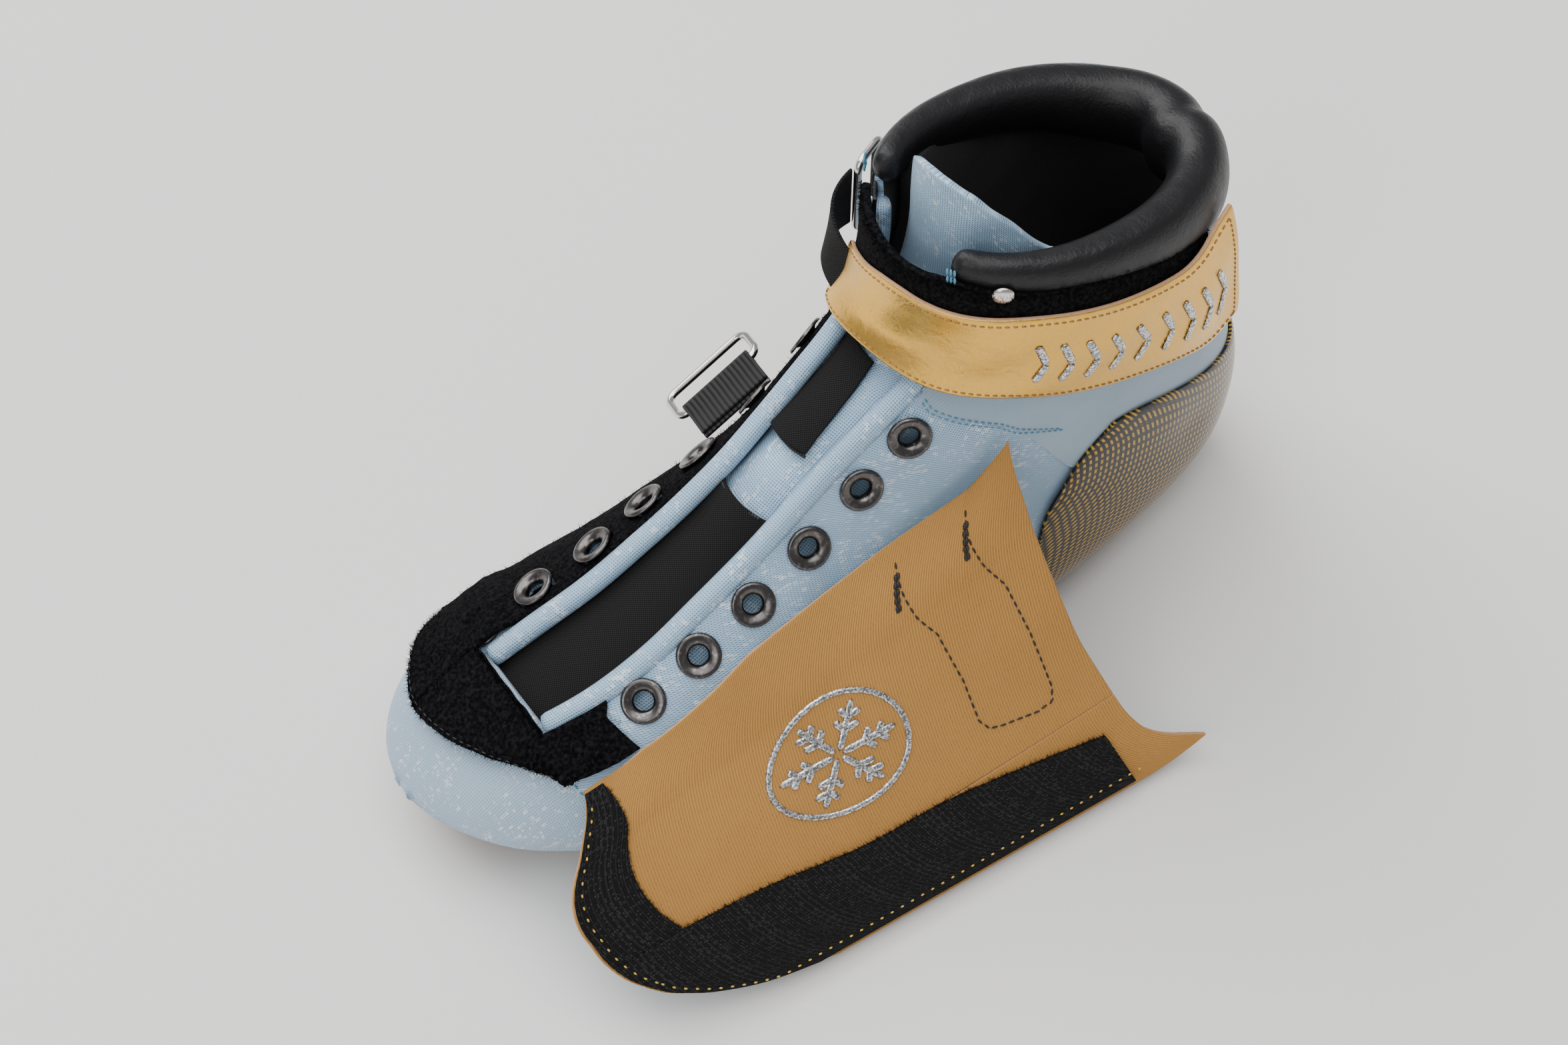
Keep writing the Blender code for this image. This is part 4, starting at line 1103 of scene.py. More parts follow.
def tongue_tapes():
    """Long tape down the tongue, the short tab above it, and the melted ends of both."""
    def long_tape(first, second):
        skew = 0.010 * (second - 0.5)
        start, end = 0.452 + skew * 0.4, THROAT_END + 0.022
        along = start + (end - start) * first
        middle = 3.2 - 1.8 * first
        angle = middle + half_turn(along, 0.0235) * (2 * second - 1)
        sag = 0.0012 * np.exp(-((first - 0.0) / 0.10) ** 2)
        return skin(along, angle, TONGUE_TAPE_OUT + 0.0010 * np.sin(np.pi * second) + sag)
    piece = sheet("tongue_tape", 110, 30, long_tape, ("webbing",))
    fit(thicken(piece, WEBBING_WALL), "boot", "webbing", "tongue_webbing")

    def short_tape(first, second):
        along = 0.205 + (0.366 + 0.006 * (0.5 - second) - 0.205) * first
        middle = -9.0 + 9.0 * first
        angle = middle + half_turn(along, 0.0150) * (2 * second - 1)
        curl = 0.0016 * first ** 3 + 0.0006 * np.sin(np.pi * second)
        return skin(along, angle, TONGUE_TAPE_OUT + 0.0008 + curl)
    piece = sheet("tongue_tab", 46, 26, short_tape, ("webbing",))
    fit(thicken(piece, WEBBING_WALL), "boot", "webbing", "tongue_loop")
    beads = []
    for along, low, high in ((0.366, -12.0, 12.0), (0.455, -9.0, 15.5)):
        angle = np.linspace(low, high, 40)
        row = np.full(40, along)
        beads.append((skin(row, angle, TONGUE_TAPE_OUT + 0.0014), outwards(row, angle)))
    fit(stitches("melted_tape_ends", beads, "black thread", 0.0009, 0.00062, 1.5), "boot", "webbing")


# Loop patch and its nap

PATCH_ROWS, PATCH_COLUMNS = 72, 100
PATCH_INNER_ANGLE, PATCH_OUTER_ANGLE = -78, 42
PATCH_SPLIT, PATCH_CORNER = 14 / 18, 12.05 / 18
PATCH_INNER_SHARE, PATCH_OUTER_SHARE = 0.5, 0.75
PATCH_FRONT = ((-0.1, 0.735), (0, 0.755), (0.16, 0.795), (0.30, 0.820), (0.40, 0.840), (0.50, 0.850),
               (0.55, 0.850), (0.625, 0.841), (0.685, 0.828), (0.75, 0.806), (0.82, 0.792), (0.95, 0.768),
               (1.0, 0.748), (1.1, 0.735))


def smooth(value, low, high):
    share = np.clip((value - low) / (high - low), 0, 1)
    return share * share * (3 - 2 * share)


def patch_out(along):
    return np.interp(along, (0.695, 0.715), (0.0022, 0.0040))


def on_patch(first, second):
    """Points on the patch: second runs from the inner quarter round the toe end to the outer side."""
    before = first < PATCH_SPLIT
    reach = np.where(before, first / PATCH_SPLIT, (first - PATCH_SPLIT) / (1 - PATCH_SPLIT))
    start = np.interp(second, (0, 0.3, PATCH_INNER_SHARE), (0.30, 0.22, 0.20))
    front = eased(PATCH_FRONT, second, 0.05)
    end = THROAT_END + 0.010 - 0.014 * smooth(second, 0.44, 0.52) * smooth(second, 0.82, 0.73)
    along = np.where(before, start + (end - start) * reach, end + (front - end) * reach)
    clear = turn_for(along, 20, sizes().piping * 0.75)
    low, high = opening(along, False) - clear, opening(along) + clear
    across = (second - PATCH_INNER_SHARE) / (PATCH_OUTER_SHARE - PATCH_INNER_SHARE)
    past = (second - PATCH_OUTER_SHARE) / (1 - PATCH_OUTER_SHARE)
    inner_side = PATCH_INNER_ANGLE + (low - PATCH_INNER_ANGLE) * second / PATCH_INNER_SHARE
    middle = low + (high - low) * across
    outer_side = high + (PATCH_OUTER_ANGLE - high) * past
    angle = np.where(second < PATCH_INNER_SHARE, inner_side,
                     np.where(second < PATCH_OUTER_SHARE, middle, outer_side))
    return along, angle


def patch_kept(first, second):
    """The patch has a slot for the throat, and its outer side is short."""
    slack = 1e-6
    outer_side = (second >= PATCH_OUTER_SHARE - slack) & (first > PATCH_CORNER)
    return (first >= PATCH_SPLIT - slack) | (second <= PATCH_INNER_SHARE + slack) | outer_side


def loop_patch():
    """Napped patch round the throat, with its loose fibres."""
    chance = np.random.default_rng(11)
    centres = np.array([skin(*spot) for spot in INNER_EYELETS[1:]])
    hidden = np.array([skin(*spot) for spot in (OUTER_EYELETS[0], INNER_EYELETS[0])])

    def surface(first, second, extra=0.0):
        along, angle = on_patch(first, second)
        points = on_boot(along, angle)
        near = np.linalg.norm(points[..., None, :] - hidden, axis=-1).min(axis=-1)
        bump = 0.0008 * np.exp(-((near - 0.0045) / 0.0016) ** 2)
        flat = 0.0006 - 0.0005 * np.exp(-(near / 0.010) ** 4)
        return skin(along, angle, patch_out(along) - flat + bump + extra)

    def place(first, second):
        return surface(first, second, chance.normal(0, 0.00012, first.shape))

    def keep(first, second, points):
        away = np.linalg.norm(points[:, :, None] - centres, axis=-1).min(axis=-1)
        return patch_kept(first, second) & (away > 0.0042)
    piece = sheet("loop_patch_cloth", PATCH_ROWS, PATCH_COLUMNS, place, ("loop",), keep)
    fit(thicken(piece, PATCH_WALL), "boot", "loop_pile", "loop_patch")

    def spots(count):
        first, second = chance.random(count), chance.random(count)
        edge = chance.random(count) < 0.45
        pick = chance.integers(0, 4, count)
        first = np.where(edge & (pick == 0), 1.0, np.where(edge & (pick == 3), PATCH_SPLIT + 0.004, first))
        second = np.where(edge & (pick == 1), 0.497, np.where(edge & (pick == 2), 0.003, second))
        second = np.where(edge & (pick == 3), 0.5 + 0.25 * second, second)
        return first, second
    first, second = spots(sizes().fibres)
    along, angle = on_patch(first, second)
    roots = surface(first, second)
    away = np.linalg.norm(roots[:, None] - centres, axis=-1).min(axis=-1)
    good = patch_kept(first, second) & (away > 0.0062)
    fit(fibres("patch_nap", roots[good], outwards(along, angle)[good], chance), "boot", "loop_pile")


FIBRE_ROOT, FIBRE_TIP = 0.00009, 0.00003


def fibres(name, roots, ups, chance, spread=0.75, longer=1.0, finish="loop"):
    """Loose fibres of a napped cloth: thin spikes that lean every way."""
    shape = bmesh.new()
    for root, up in zip(roots, ups):
        length = sizes().nap * longer * (0.6 + 1.1 * chance.random() ** 2)
        lean = Vector(up) + Vector(chance.normal(0, spread, 3))
        turn = lean.to_track_quat("Z", "Y").to_matrix().to_4x4()
        pose = Matrix.Translation(root) @ turn @ Matrix.Translation((0, 0, length / 2))
        bmesh.ops.create_cone(shape, cap_ends=True, segments=3, radius1=FIBRE_ROOT, radius2=FIBRE_TIP,
                              depth=length, matrix=pose)
    return new_piece(name, shape, finish)


# Eyelets

# Radius and height of the turned rim, then of its barrel
EYELET_PROFILE = (
    (0.00635, 0.0000), (0.00640, 0.0003), (0.00620, 0.00075), (0.00575, 0.00100), (0.00520, 0.00098),
    (0.00450, 0.00080), (0.00380, 0.00052), (0.00325, 0.00015), (0.00285, -0.0004), (0.00275, -0.0010),
    (0.00275, -0.0019), (0.00330, -0.0019), (0.00335, -0.0006), (0.00420, 0.0000),
)


def eyelet(name, pose, node):
    """A turned funnel-shaped rim on a short barrel."""
    shape = bmesh.new()
    corners = [shape.verts.new((radius, 0, height)) for radius, height in EYELET_PROFILE]
    edges = [shape.edges.new((corner, corners[i - 1])) for i, corner in enumerate(corners)]
    bmesh.ops.spin(shape, geom=corners + edges, cent=(0, 0, 0), axis=(0, 0, 1), angle=math.tau, steps=40,
                   use_merge=True)
    bmesh.ops.remove_doubles(shape, verts=shape.verts, dist=1e-7)
    bmesh.ops.recalc_face_normals(shape, faces=shape.faces)
    bmesh.ops.transform(shape, matrix=pose, verts=shape.verts)
    fit(new_piece(name, shape, "gunmetal"), "boot", "gunmetal", node)


def eyelets():
    for side, row in (("outer", OUTER_EYELETS), ("inner", INNER_EYELETS)):
        for number, (along, angle) in enumerate(row, 1):
            on_patch_side = side == "inner" and number > 1
            lift = patch_out(along) + 0.0001 if on_patch_side else (0.0001 if number > 1 else 0.0)
            eyelet(f"{side}_lace_ring_{number}", seat(along, angle, float(lift)), f"{side}_eyelet_{number}")


# Ankle strap

STRAP_TOP = np.array(((-30, 0.088), (-26, 0.080), (4.5, 0.034), (30, 0.034), (55.5, 0.028), (86, 0.037),
                      (109.5, 0.042), (128.5, 0.019), (140, 0.005))).T
STRAP_FOOT = np.array(((-30, 0.205), (-26, 0.205), (4, 0.182), (29.5, 0.180), (54.5, 0.161), (80, 0.159),
                       (97, 0.160), (120, 0.172), (131.5, 0.150), (140, 0.140))).T
NAP_TOP = ((-34, 0.000), (-16, 0.010), (4, 0.012), (22, -0.006), (36.5, -0.005), (56.5, 0.004), (78, 0.009),
           (99, 0.025), (122, 0.034))
STRAP_START, STRAP_END = -28, 130
STRAP_OUT, STRAP_FLARE = 0.0066, 0.0058
BASE_START, BASE_SWEEP, BASE_OUT, BASE_WALL = -34, 156, 0.0050, 0.0026
BASE_FIBRES = 1500
CHEVRONS, CHEVRON_START, CHEVRON_PITCH = 9, 0.535, 0.049


def strap_edge(rows, angle):
    return sum(np.interp(angle + shift, *rows) for shift in (-6, -3, 0, 3, 6)) / 5


def on_strap(first, second, out=0.0):
    """first runs down the strap's width, second from its inner end to its free tip."""
    angle = STRAP_START + (STRAP_END - STRAP_START) * second
    top, foot = strap_edge(STRAP_TOP, angle), strap_edge(STRAP_FOOT, angle)
    along = top + (foot - top) * first
    flare = np.clip((angle - 118) / 22, 0, 1)
    crown = 0.0011 * np.sin(np.pi * first) ** 0.6
    wave = 0.0004 * np.sin(np.radians(angle) * 9 + 5 * first) * np.sin(np.pi * first)
    return skin(along, angle, STRAP_OUT + STRAP_FLARE * flare ** 2 + crown + wave + out)


def strap_line(first, second, out):
    """A line on the strap and its outward directions."""
    points = on_strap(first, second, out)
    return points, unit(on_strap(first, second, 0.003) - points)


def ankle_strap():
    """Napped base, and the gilt strap that sticks to it."""
    def nap_base(first, second):
        angle = BASE_START + BASE_SWEEP * second
        top, foot = eased(NAP_TOP, angle, 5), strap_edge(STRAP_FOOT, angle)
        along = top + (foot - 0.008 - top) * first
        return skin(along, angle, BASE_OUT - 0.0012 * np.clip(1 - first * 5, 0, 1))
    base = sheet("strap_base_cloth", 30, 130, nap_base, ("loop",))
    fit(thicken(base, BASE_WALL), "boot", "loop_pile", "ankle_strap_base")
    chance = np.random.default_rng(5)
    second = chance.random(BASE_FIBRES)
    first = np.where(chance.random(BASE_FIBRES) < 0.5, 0.0, 0.10 * chance.random(BASE_FIBRES))
    roots = nap_base(first, second)
    ups = outwards(np.full(BASE_FIBRES, 0.05), BASE_START + BASE_SWEEP * second)
    fit(fibres("strap_base_nap", roots, ups, chance), "boot", "loop_pile")
    strap = sheet("gilt_strap", 36, 180, on_strap, ("gold", "cut"))
    fit(thicken(strap, STRAP_WALL, rim=1, inside=1, soft=0.25), "ankle_strap", "gold_leather", "ankle_strap")


def strap_sewing():
    """A seam round the strap's edge, and a row of chevrons in silver embroidery."""
    run, across = np.linspace(0.012, 0.988, 200), np.linspace(0.06, 0.94, 30)
    lines = [strap_line(np.full(200, share), run, 0.0001) for share in (0.055, 0.945)]
    lines += [strap_line(across, np.full(30, place), 0.0001) for place in (0.012, 0.985)]
    fit(stitches("strap_edge_seams", lines, "gold thread", 0.0022), "ankle_strap", "gold_leather")
    pieces = []
    half_side, half_up = rounded(12, 0.0012, 0.15), rounded(12, 0.00045, 0.15)
    for number in range(CHEVRONS):
        for low in (0.27, 0.73):
            first = np.linspace(low, 0.50, 12)
            second = CHEVRON_START + number * CHEVRON_PITCH + 0.020 * np.abs(first - low) / 0.23
            points, ups = strap_line(first, second, 0.0003)
            pieces.append(tube("chevron", points, ups, half_side, half_up, "glitter", 10))
    fit(join(pieces, "strap_embroidery"), "ankle_strap", "gold_leather")


def join(pieces, name):
    """Makes several new pieces of one finish into one."""
    shape = bmesh.new()
    for piece in pieces:
        shape.from_mesh(piece.data)
    finish = pieces[0].data.materials[0].name
    for piece in pieces:
        bpy.data.objects.remove(piece)
    mesh = bpy.data.meshes.new(name)
    shape.to_mesh(mesh)
    shape.free()
    mesh.shade_smooth()
    mesh.materials.append(bpy.data.materials[finish])
    whole = bpy.data.objects.new(name, mesh)
    bpy.context.scene.collection.objects.link(whole)
    return whole


# Rings and their webbing

RING_WIRE = 0.00117
RING_HEIGHT = 0.0100 + 2 * RING_WIRE


def ring_points(pose, slot, corner=0.0032, steps=10, straight=8):
    """Points of a rectangular ring with round corners in the XY plane of pose."""
    width, height = slot + 2 * RING_WIRE, RING_HEIGHT
    points = []
    corners = ((1, 1), (-1, 1), (-1, -1), (1, -1))
    for turn, (x, y) in enumerate(corners):
        centre = Vector((x * (width / 2 - corner), y * (height / 2 - corner), 0))
        for i in range(steps + 1):
            angle = math.radians(90 * (turn + i / steps))
            points.append(centre + Vector((math.cos(angle), math.sin(angle), 0)) * corner)
        ahead = corners[(turn + 1) % 4]
        following = Vector((ahead[0] * (width / 2 - corner), ahead[1] * (height / 2 - corner), 0))
        angle = math.radians(90 * (turn + 1))
        edge = Vector((math.cos(angle), math.sin(angle), 0)) * corner
        points += [(centre + edge).lerp(following + edge, i / straight) for i in range(1, straight)]
    return [pose @ point for point in points]


def webbing_loop(name, pose, side, tail, width, tilt, finish, wall=0.0009):
    """A tape round a ring's bar whose two layers lie together behind it."""
    bar = pose @ Matrix.Translation((0, side * RING_HEIGHT / 2, 0)) @ Matrix.Rotation(tilt, 4, "X")
    eye = RING_WIRE + wall / 2 + 0.00025
    layer = wall * 0.56
    profile = [(side * tail * share, -layer) for share in np.linspace(1, 0.28, 14)]
    profile += [(-side * eye * math.cos(turn), -eye * math.sin(turn))
                for turn in np.linspace(math.radians(115), math.radians(-115), 26)]
    profile += [(side * tail * share * 0.93, layer) for share in np.linspace(0.30, 1, 14)]
    profile = np.array(profile)

    def place(first, second):
        row = np.round(first * (len(profile) - 1)).astype(int)
        y, z = profile[row, 0], profile[row, 1]
        x = width * (second - 0.5)
        local = np.stack([x, y, z, np.ones_like(x)], -1)
        return (local @ np.array(bar).T)[..., :3]
    piece = sheet(name, len(profile) - 1, 24, place, (finish,))
    return thicken(piece, wall, offset=0.0)


def rings():
    """The ankle strap's ring and the instep strap's ring, with the tapes that hold them."""
    ankle = seat(0.085, -56, 0.0085)
    normal = np.array(ankle.to_3x3().col[2])
    ring = ring_tube("ankle_ring_wire", ring_points(ankle, 0.025), normal, RING_WIRE, "nickel", 16)
    fit(ring, "ankle_ring", "nickel", "ankle_ring")
    tab = webbing_loop("ankle_ring_tape", ankle, -1, 0.0115, 0.020, math.radians(28), "webbing")
    fit(tab, "boot", "webbing", "ankle_ring_tab")
    instep = seat(0.440, -41, 0.0056) @ Matrix.Rotation(math.radians(-38), 4, "X")
    instep = instep @ Matrix.Translation((0, -0.0190, 0))
    normal = np.array(instep.to_3x3().col[2])
    ring = ring_tube("instep_ring_wire", ring_points(instep, 0.027), normal, RING_WIRE, "nickel", 16)
    fit(ring, "instep_ring", "nickel", "instep_ring")
    tab = webbing_loop("instep_ring_elastic", instep, 1, 0.0150, 0.0245, 0.0, "elastic", 0.0011)
    fit(tab, "boot", "webbing", "instep_ring_tab")

    bar = ankle @ Matrix.Translation((0, RING_HEIGHT / 2, 0))
    bar_at, bar_along = np.array(bar.translation), unit(np.array(ankle.to_3x3().col[0]))

    def strap_loop(first, second):
        """From the ring's front bar, out in a loose bow and in under the strap's inner end."""
        share = second - 0.5
        start = bar_at + bar_along * 0.022 * share[..., None] + np.array(ankle.to_3x3().col[2]) * 0.0019
        end = on_strap(0.5 + 0.62 * share, np.full(share.shape, 0.045), -0.0022)
        lift = np.array(ankle.to_3x3().col[2]) * 0.0105 + np.array([0.0035, 0, 0.0])
        t = first[..., None]
        mid = (start + end) / 2 + lift
        return start * (1 - t) ** 2 + 2 * mid * t * (1 - t) + end * t ** 2
    piece = sheet("strap_loop_tape", 40, 24, strap_loop, ("webbing",), turned_over=True)
    fit(thicken(piece, 0.0011, offset=0.0), "ankle_strap", "webbing", "ankle_strap_webbing")


# Lace cover

# Widths of the cover at its toe end and its rear, and how far the hem lies forward of the hinge line
COVER_WIDTHS = (0.0660, 0.0960)
HEM_SHIFTS = (-0.0105, -0.0200)
HEM_HEIGHT = 0.0042
COVER_BULGE = 0.019
# Shares of the panel's width: its outer fold, and where the cloth is parted
COVER_FOLD, COVER_SPLIT = 0.71, 0.69
# The strip between the sewn edge and the panel, as a share of the cloth, and where the panel begins
ROOT_SHARE, COVER_TURN = 0.16, 0.10


def cover_lines():
    """Ends of the hinge line and of the hem, front first."""
    hinge = [Vector(skin(0.735, 58, 0.0075)), Vector(skin(0.350, 66, 0.0112))]
    hem = []
    for point, width, shift in zip(hinge, COVER_WIDTHS, HEM_SHIFTS):
        drop = point.z - HEM_HEIGHT
        hem.append(Vector((point.x + shift, point.y + math.sqrt(width ** 2 - drop ** 2), HEM_HEIGHT)))
    return hinge, hem


def on_cover(first, second, out=0.0):
    """Points on the open cover: first runs from its toe end to its rear, second from hinge to hem."""
    hinge, hem = cover_lines()
    first, second = np.broadcast_arrays(np.asarray(first, float), np.asarray(second, float))

    def ruled(u, v):
        u, v = u[..., None], v[..., None]
        root = np.array(hinge[0]) * (1 - u) + np.array(hinge[1]) * u
        return root * (1 - v) + (np.array(hem[0]) * (1 - u) + np.array(hem[1]) * u) * v
    bulge = COVER_BULGE * np.sin(math.pi * np.clip(second, 0, 1) ** 0.85) * np.clip(1 - first, 0, 2) ** 2.5
    step = 0.01
    lengthwise = ruled(first + step, second) - ruled(first - step, second)
    across = ruled(first, second + step) - ruled(first, second - step)
    normal = unit(np.cross(across, lengthwise))
    slack = 0.0012 * np.sin(np.pi * np.clip(second, 0, 1)) * np.sin(2.6 * first + 0.4)
    points = ruled(first, second) + normal * (np.asarray(out, float) + slack)[..., None]
    points[..., 0] += bulge
    return points


# The sewn edge: share along the cover, place along the boot, angle round it
BASE_EDGE = np.array(((-0.15, 0.790, 50), (0, 0.735, 45), (0.167, 0.690, 42), (0.333, 0.583, 42),
                      (0.5, 0.505, 46), (0.667, 0.432, 51.5), (0.833, 0.350, 58), (1, 0.268, 60.5),
                      (1.1, 0.220, 61.5))).T


def on_root(first, second, out=0.0):
    """Points on the cover's strip between its sewn edge on the upper and the open panel."""
    along, angle = (np.interp(first, BASE_EDGE[0], row) for row in BASE_EDGE[1:])
    start = skin(along, angle, 0.0024)
    end = on_cover(first, np.full(np.shape(first), COVER_TURN))
    turn = on_cover(first, np.full(np.shape(first), -0.02), 0.0012)
    t = second[..., None]
    points = start * (1 - t) ** 2 + 2 * turn * t * (1 - t) + end * t ** 2
    panel_up = unit(on_cover(first, np.full(np.shape(first), COVER_TURN), 0.01) - end)
    up = outwards(along, angle) * (1 - t) + panel_up * t
    return points + unit(up) * np.asarray(out, float)[..., None]


def on_cloth(first, second, out=0.0):
    """Points on the whole cover, from its sewn edge at 0 to the hem at 1."""
    first, second, out = np.broadcast_arrays(*(np.asarray(value, float) for value in (first, second, out)))
    root = on_root(first, np.clip(second / ROOT_SHARE, 0, 1), out)
    reach = np.clip((second - ROOT_SHARE) / (1 - ROOT_SHARE), 0, 1)
    panel = on_cover(first, COVER_TURN + (1 - COVER_TURN) * reach, out)
    panel[..., 2] += 0.006 * np.clip((first - 0.90) / 0.16, 0, 1) ** 2 * np.clip((second - 0.75) / 0.25, 0, 1)
    return np.where((second < ROOT_SHARE)[..., None], root, panel)


def cloth_share(second):
    """The share across the whole cloth at which a share of the open panel lies."""
    return ROOT_SHARE + (1 - ROOT_SHARE) * (second - COVER_TURN) / (1 - COVER_TURN)


HALF_COVER = COVER_WALL / 2
TOE_END = ((0.0, -0.050), (0.10, -0.085), (0.23, -0.078), (0.45, -0.060), (0.66, -0.064), (0.78, -0.058),
           (0.865, -0.033), (0.93, 0.012), (0.965, 0.062), (0.985, 0.120), (1.0, 0.200))
REAR_END = ((0.0, 1.0), (0.06, 1.02), (0.245, 0.99), (0.5, 0.955), (0.8, 0.95), (0.91, 0.98), (1.0, 1.07))
TOE_TAPE = ((0.0, 0.000), (0.125, 0.025), (0.585, 0.060), (0.75, 0.075), (1.0, 0.08))
HEM_TAPE = ((-0.1, 0.57), (0.06, 0.585), (0.205, 0.62), (0.365, 0.69), (0.545, 0.705), (0.835, 0.79),
            (1.0, 0.84))


def eased(rows, place, reach=0.02):
    """A value read from rows, with its corners rounded off."""
    rows = np.array(rows).T
    return sum(np.interp(place + shift * reach, *rows) for shift in (-1, -0.5, 0, 0.5, 1)) / 5


def toe_start(second):
    return eased(TOE_END, second)


def rear_end(second):
    return eased(REAR_END, second, 0.05)


def cover_grid(name, rows, columns, along, across, out, finishes, wall, **options):
    def place(first, second):
        inner = across[0](first) if callable(across[0]) else across[0]
        v = inner + (across[1] - inner) * second
        start = along[0](v) if callable(along[0]) else along[0]
        end = along[1](v) if callable(along[1]) else along[1]
        return on_cloth(start + (end - start) * first, v, out)
    piece = sheet(name, rows, columns, place, finishes, turned_over=True)
    return thicken(piece, wall, **options)


def bend(piece, slot, joint_name, across, bodies, reach, *nodes):
    """Bakes a piece in place and hides the solids it stands for, by one of the cover's joints, which it does
    not turn about. The reach is not used.
    """
    joint = next(j for j in frame["joints"] if j["name"] == joint_name)
    pos, axis = np.array(joint["pos_m"]), unit(np.array(joint["axis"]))
    away = on_cover(0.5, across) - pos
    away = unit(away - axis * (away @ axis))
    fit(piece, None, slot, *nodes)
    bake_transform(piece)


def bend_at_hinge(piece, slot, *nodes):
    bend(piece, slot, "cover_hinge", 0.15, ("boot", "cover"), (0.003, 0.003), *nodes)


def bend_at_fold(piece, slot, *nodes):
    bend(piece, slot, "cover_fold", 0.9, ("cover", "cover_edge"), (0.002, 0.004), *nodes)


def lace_cover():
    """The cover's cloth in two pieces that meet at its fold, its hook tapes and their frayed edges."""
    split = cloth_share(COVER_SPLIT)
    ends, faces = (toe_start, rear_end), ("suede", "cut", "ankle")
    main = cover_grid("cover_cloth", 130, 84, ends, (0, split), HALF_COVER, faces, COVER_WALL,
                      rim=1, inside=2, soft=0.25)
    bend_at_hinge(main, "cover_suede", "cover_root", "cover_panel")
    edge = cover_grid("cover_border", 130, 34, ends, (split, 1), HALF_COVER, faces, COVER_WALL,
                      rim=1, inside=2, soft=0.25)
    bend_at_fold(edge, "cover_suede", "cover_edge")
    tape = HALF_COVER + TAPE_WALL
    toe_ends = (lambda v: toe_start(v) + 0.004, lambda v: eased(TOE_TAPE, v))
    toe_hook = cover_grid("toe_hook_tape", 30, 84, toe_ends, (0.006, 0.60), tape, ("hook",), TAPE_WALL,
                          soft=0.2)
    bend_at_hinge(toe_hook, "hook_tape", "cover_toe_hook")
    hem = cover_grid("hem_hook_tape", 150, 50, (lambda v: toe_start(v) + 0.004, 0.885),
                     (lambda first: eased(HEM_TAPE, -0.06 + 0.945 * first, 0.05), 0.985),
                     tape + 0.0002, ("hook",), TAPE_WALL, soft=0.2)
    bend_at_fold(hem, "hook_tape", "cover_hook_tape")
    chance = np.random.default_rng(3)
    first = chance.uniform(0.06, 0.885, 1100)
    inner = eased(HEM_TAPE, first, 0.05)
    roots, ups = cover_points(first, inner + 0.004, HALF_COVER + 0.0004)
    lean = unit(on_cloth(first, inner - 0.02) - on_cloth(first, inner + 0.02))
    fray = fibres("hem_tape_fray", roots, lean + 0.25 * ups, chance, 0.35, 1.1, "hook")
    bend_at_fold(fray, "hook_tape")
    second = chance.uniform(0.02, 0.58, 500)
    end = eased(TOE_TAPE, second)
    roots, ups = cover_points(end - 0.003, second, HALF_COVER + 0.0004)
    lean = unit(on_cloth(end + 0.02, second) - on_cloth(end - 0.02, second))
    bend_at_hinge(fibres("toe_tape_fray", roots, lean + 0.25 * ups, chance, 0.35, 0.8, "hook"), "hook_tape")


def cover_points(first, second, out):
    """Points on the cover's cloth and their outward directions."""
    points = on_cloth(first, second, out)
    return points, unit(on_cloth(first, second, out + 0.003) - points)


# The seam that holds the instep strap under the cover: shares along the cover and across its cloth
POCKET_SEAM = ((0.668, 0.03), (0.70, 0.12), (0.722, 0.23), (0.712, 0.40), (0.692, 0.54), (0.700, 0.58),
               (0.725, 0.595), (0.800, 0.622), (0.835, 0.617), (0.852, 0.58), (0.878, 0.40), (0.892, 0.23),
               (0.872, 0.12), (0.842, 0.03))


def cover_stitching():
    """Stitches of both hook tapes and of the strap's pocket."""
    tape = HALF_COVER + TAPE_WALL + 0.0002
    second = np.linspace(0.03, cloth_share(COVER_SPLIT), 60)
    toe_dots = cover_points(toe_start(second) + 0.018, second, np.full(60, tape))
    dots = stitches("toe_tape_stitches", [toe_dots], "yellow thread", 0.0034, 0.0003, 0.34)
    bend_at_hinge(dots, "hook_tape")
    second = np.linspace(cloth_share(COVER_SPLIT), 0.955, 40)
    corner = cover_points(toe_start(second) + 0.018, second, np.full(40, tape))
    first = np.linspace(toe_start(np.array(0.955)) + 0.018, 0.915, 120)
    hem = cover_points(first, np.full(120, 0.955), np.full(120, tape))
    dots = stitches("hem_tape_stitches", [corner, hem], "yellow thread", 0.0034, 0.0003, 0.34)
    bend_at_fold(dots, "hook_tape")

    def line(corners, count=40):
        corners = np.array(corners, float)
        share = np.linspace(0, len(corners) - 1, count * (len(corners) - 1))
        u, v = (np.interp(share, range(len(corners)), corners[:, i]) for i in (0, 1))
        return cover_points(u, v, np.full(len(u), HALF_COVER + 0.0001))
    pocket = line(POCKET_SEAM, 24)
    thread = stitches("strap_pocket_seam", [pocket], "black thread", 0.0027, 0.00034, 0.82)
    bend_at_hinge(thread, "webbing")
    tacks = [line(((u, 0.05), (u, 0.11)), 8) for u in (0.672, 0.678, 0.846, 0.852)]
    bend_at_hinge(stitches("strap_pocket_tacks", tacks, "black thread", 0.0022, 0.0006, 1.1), "webbing")


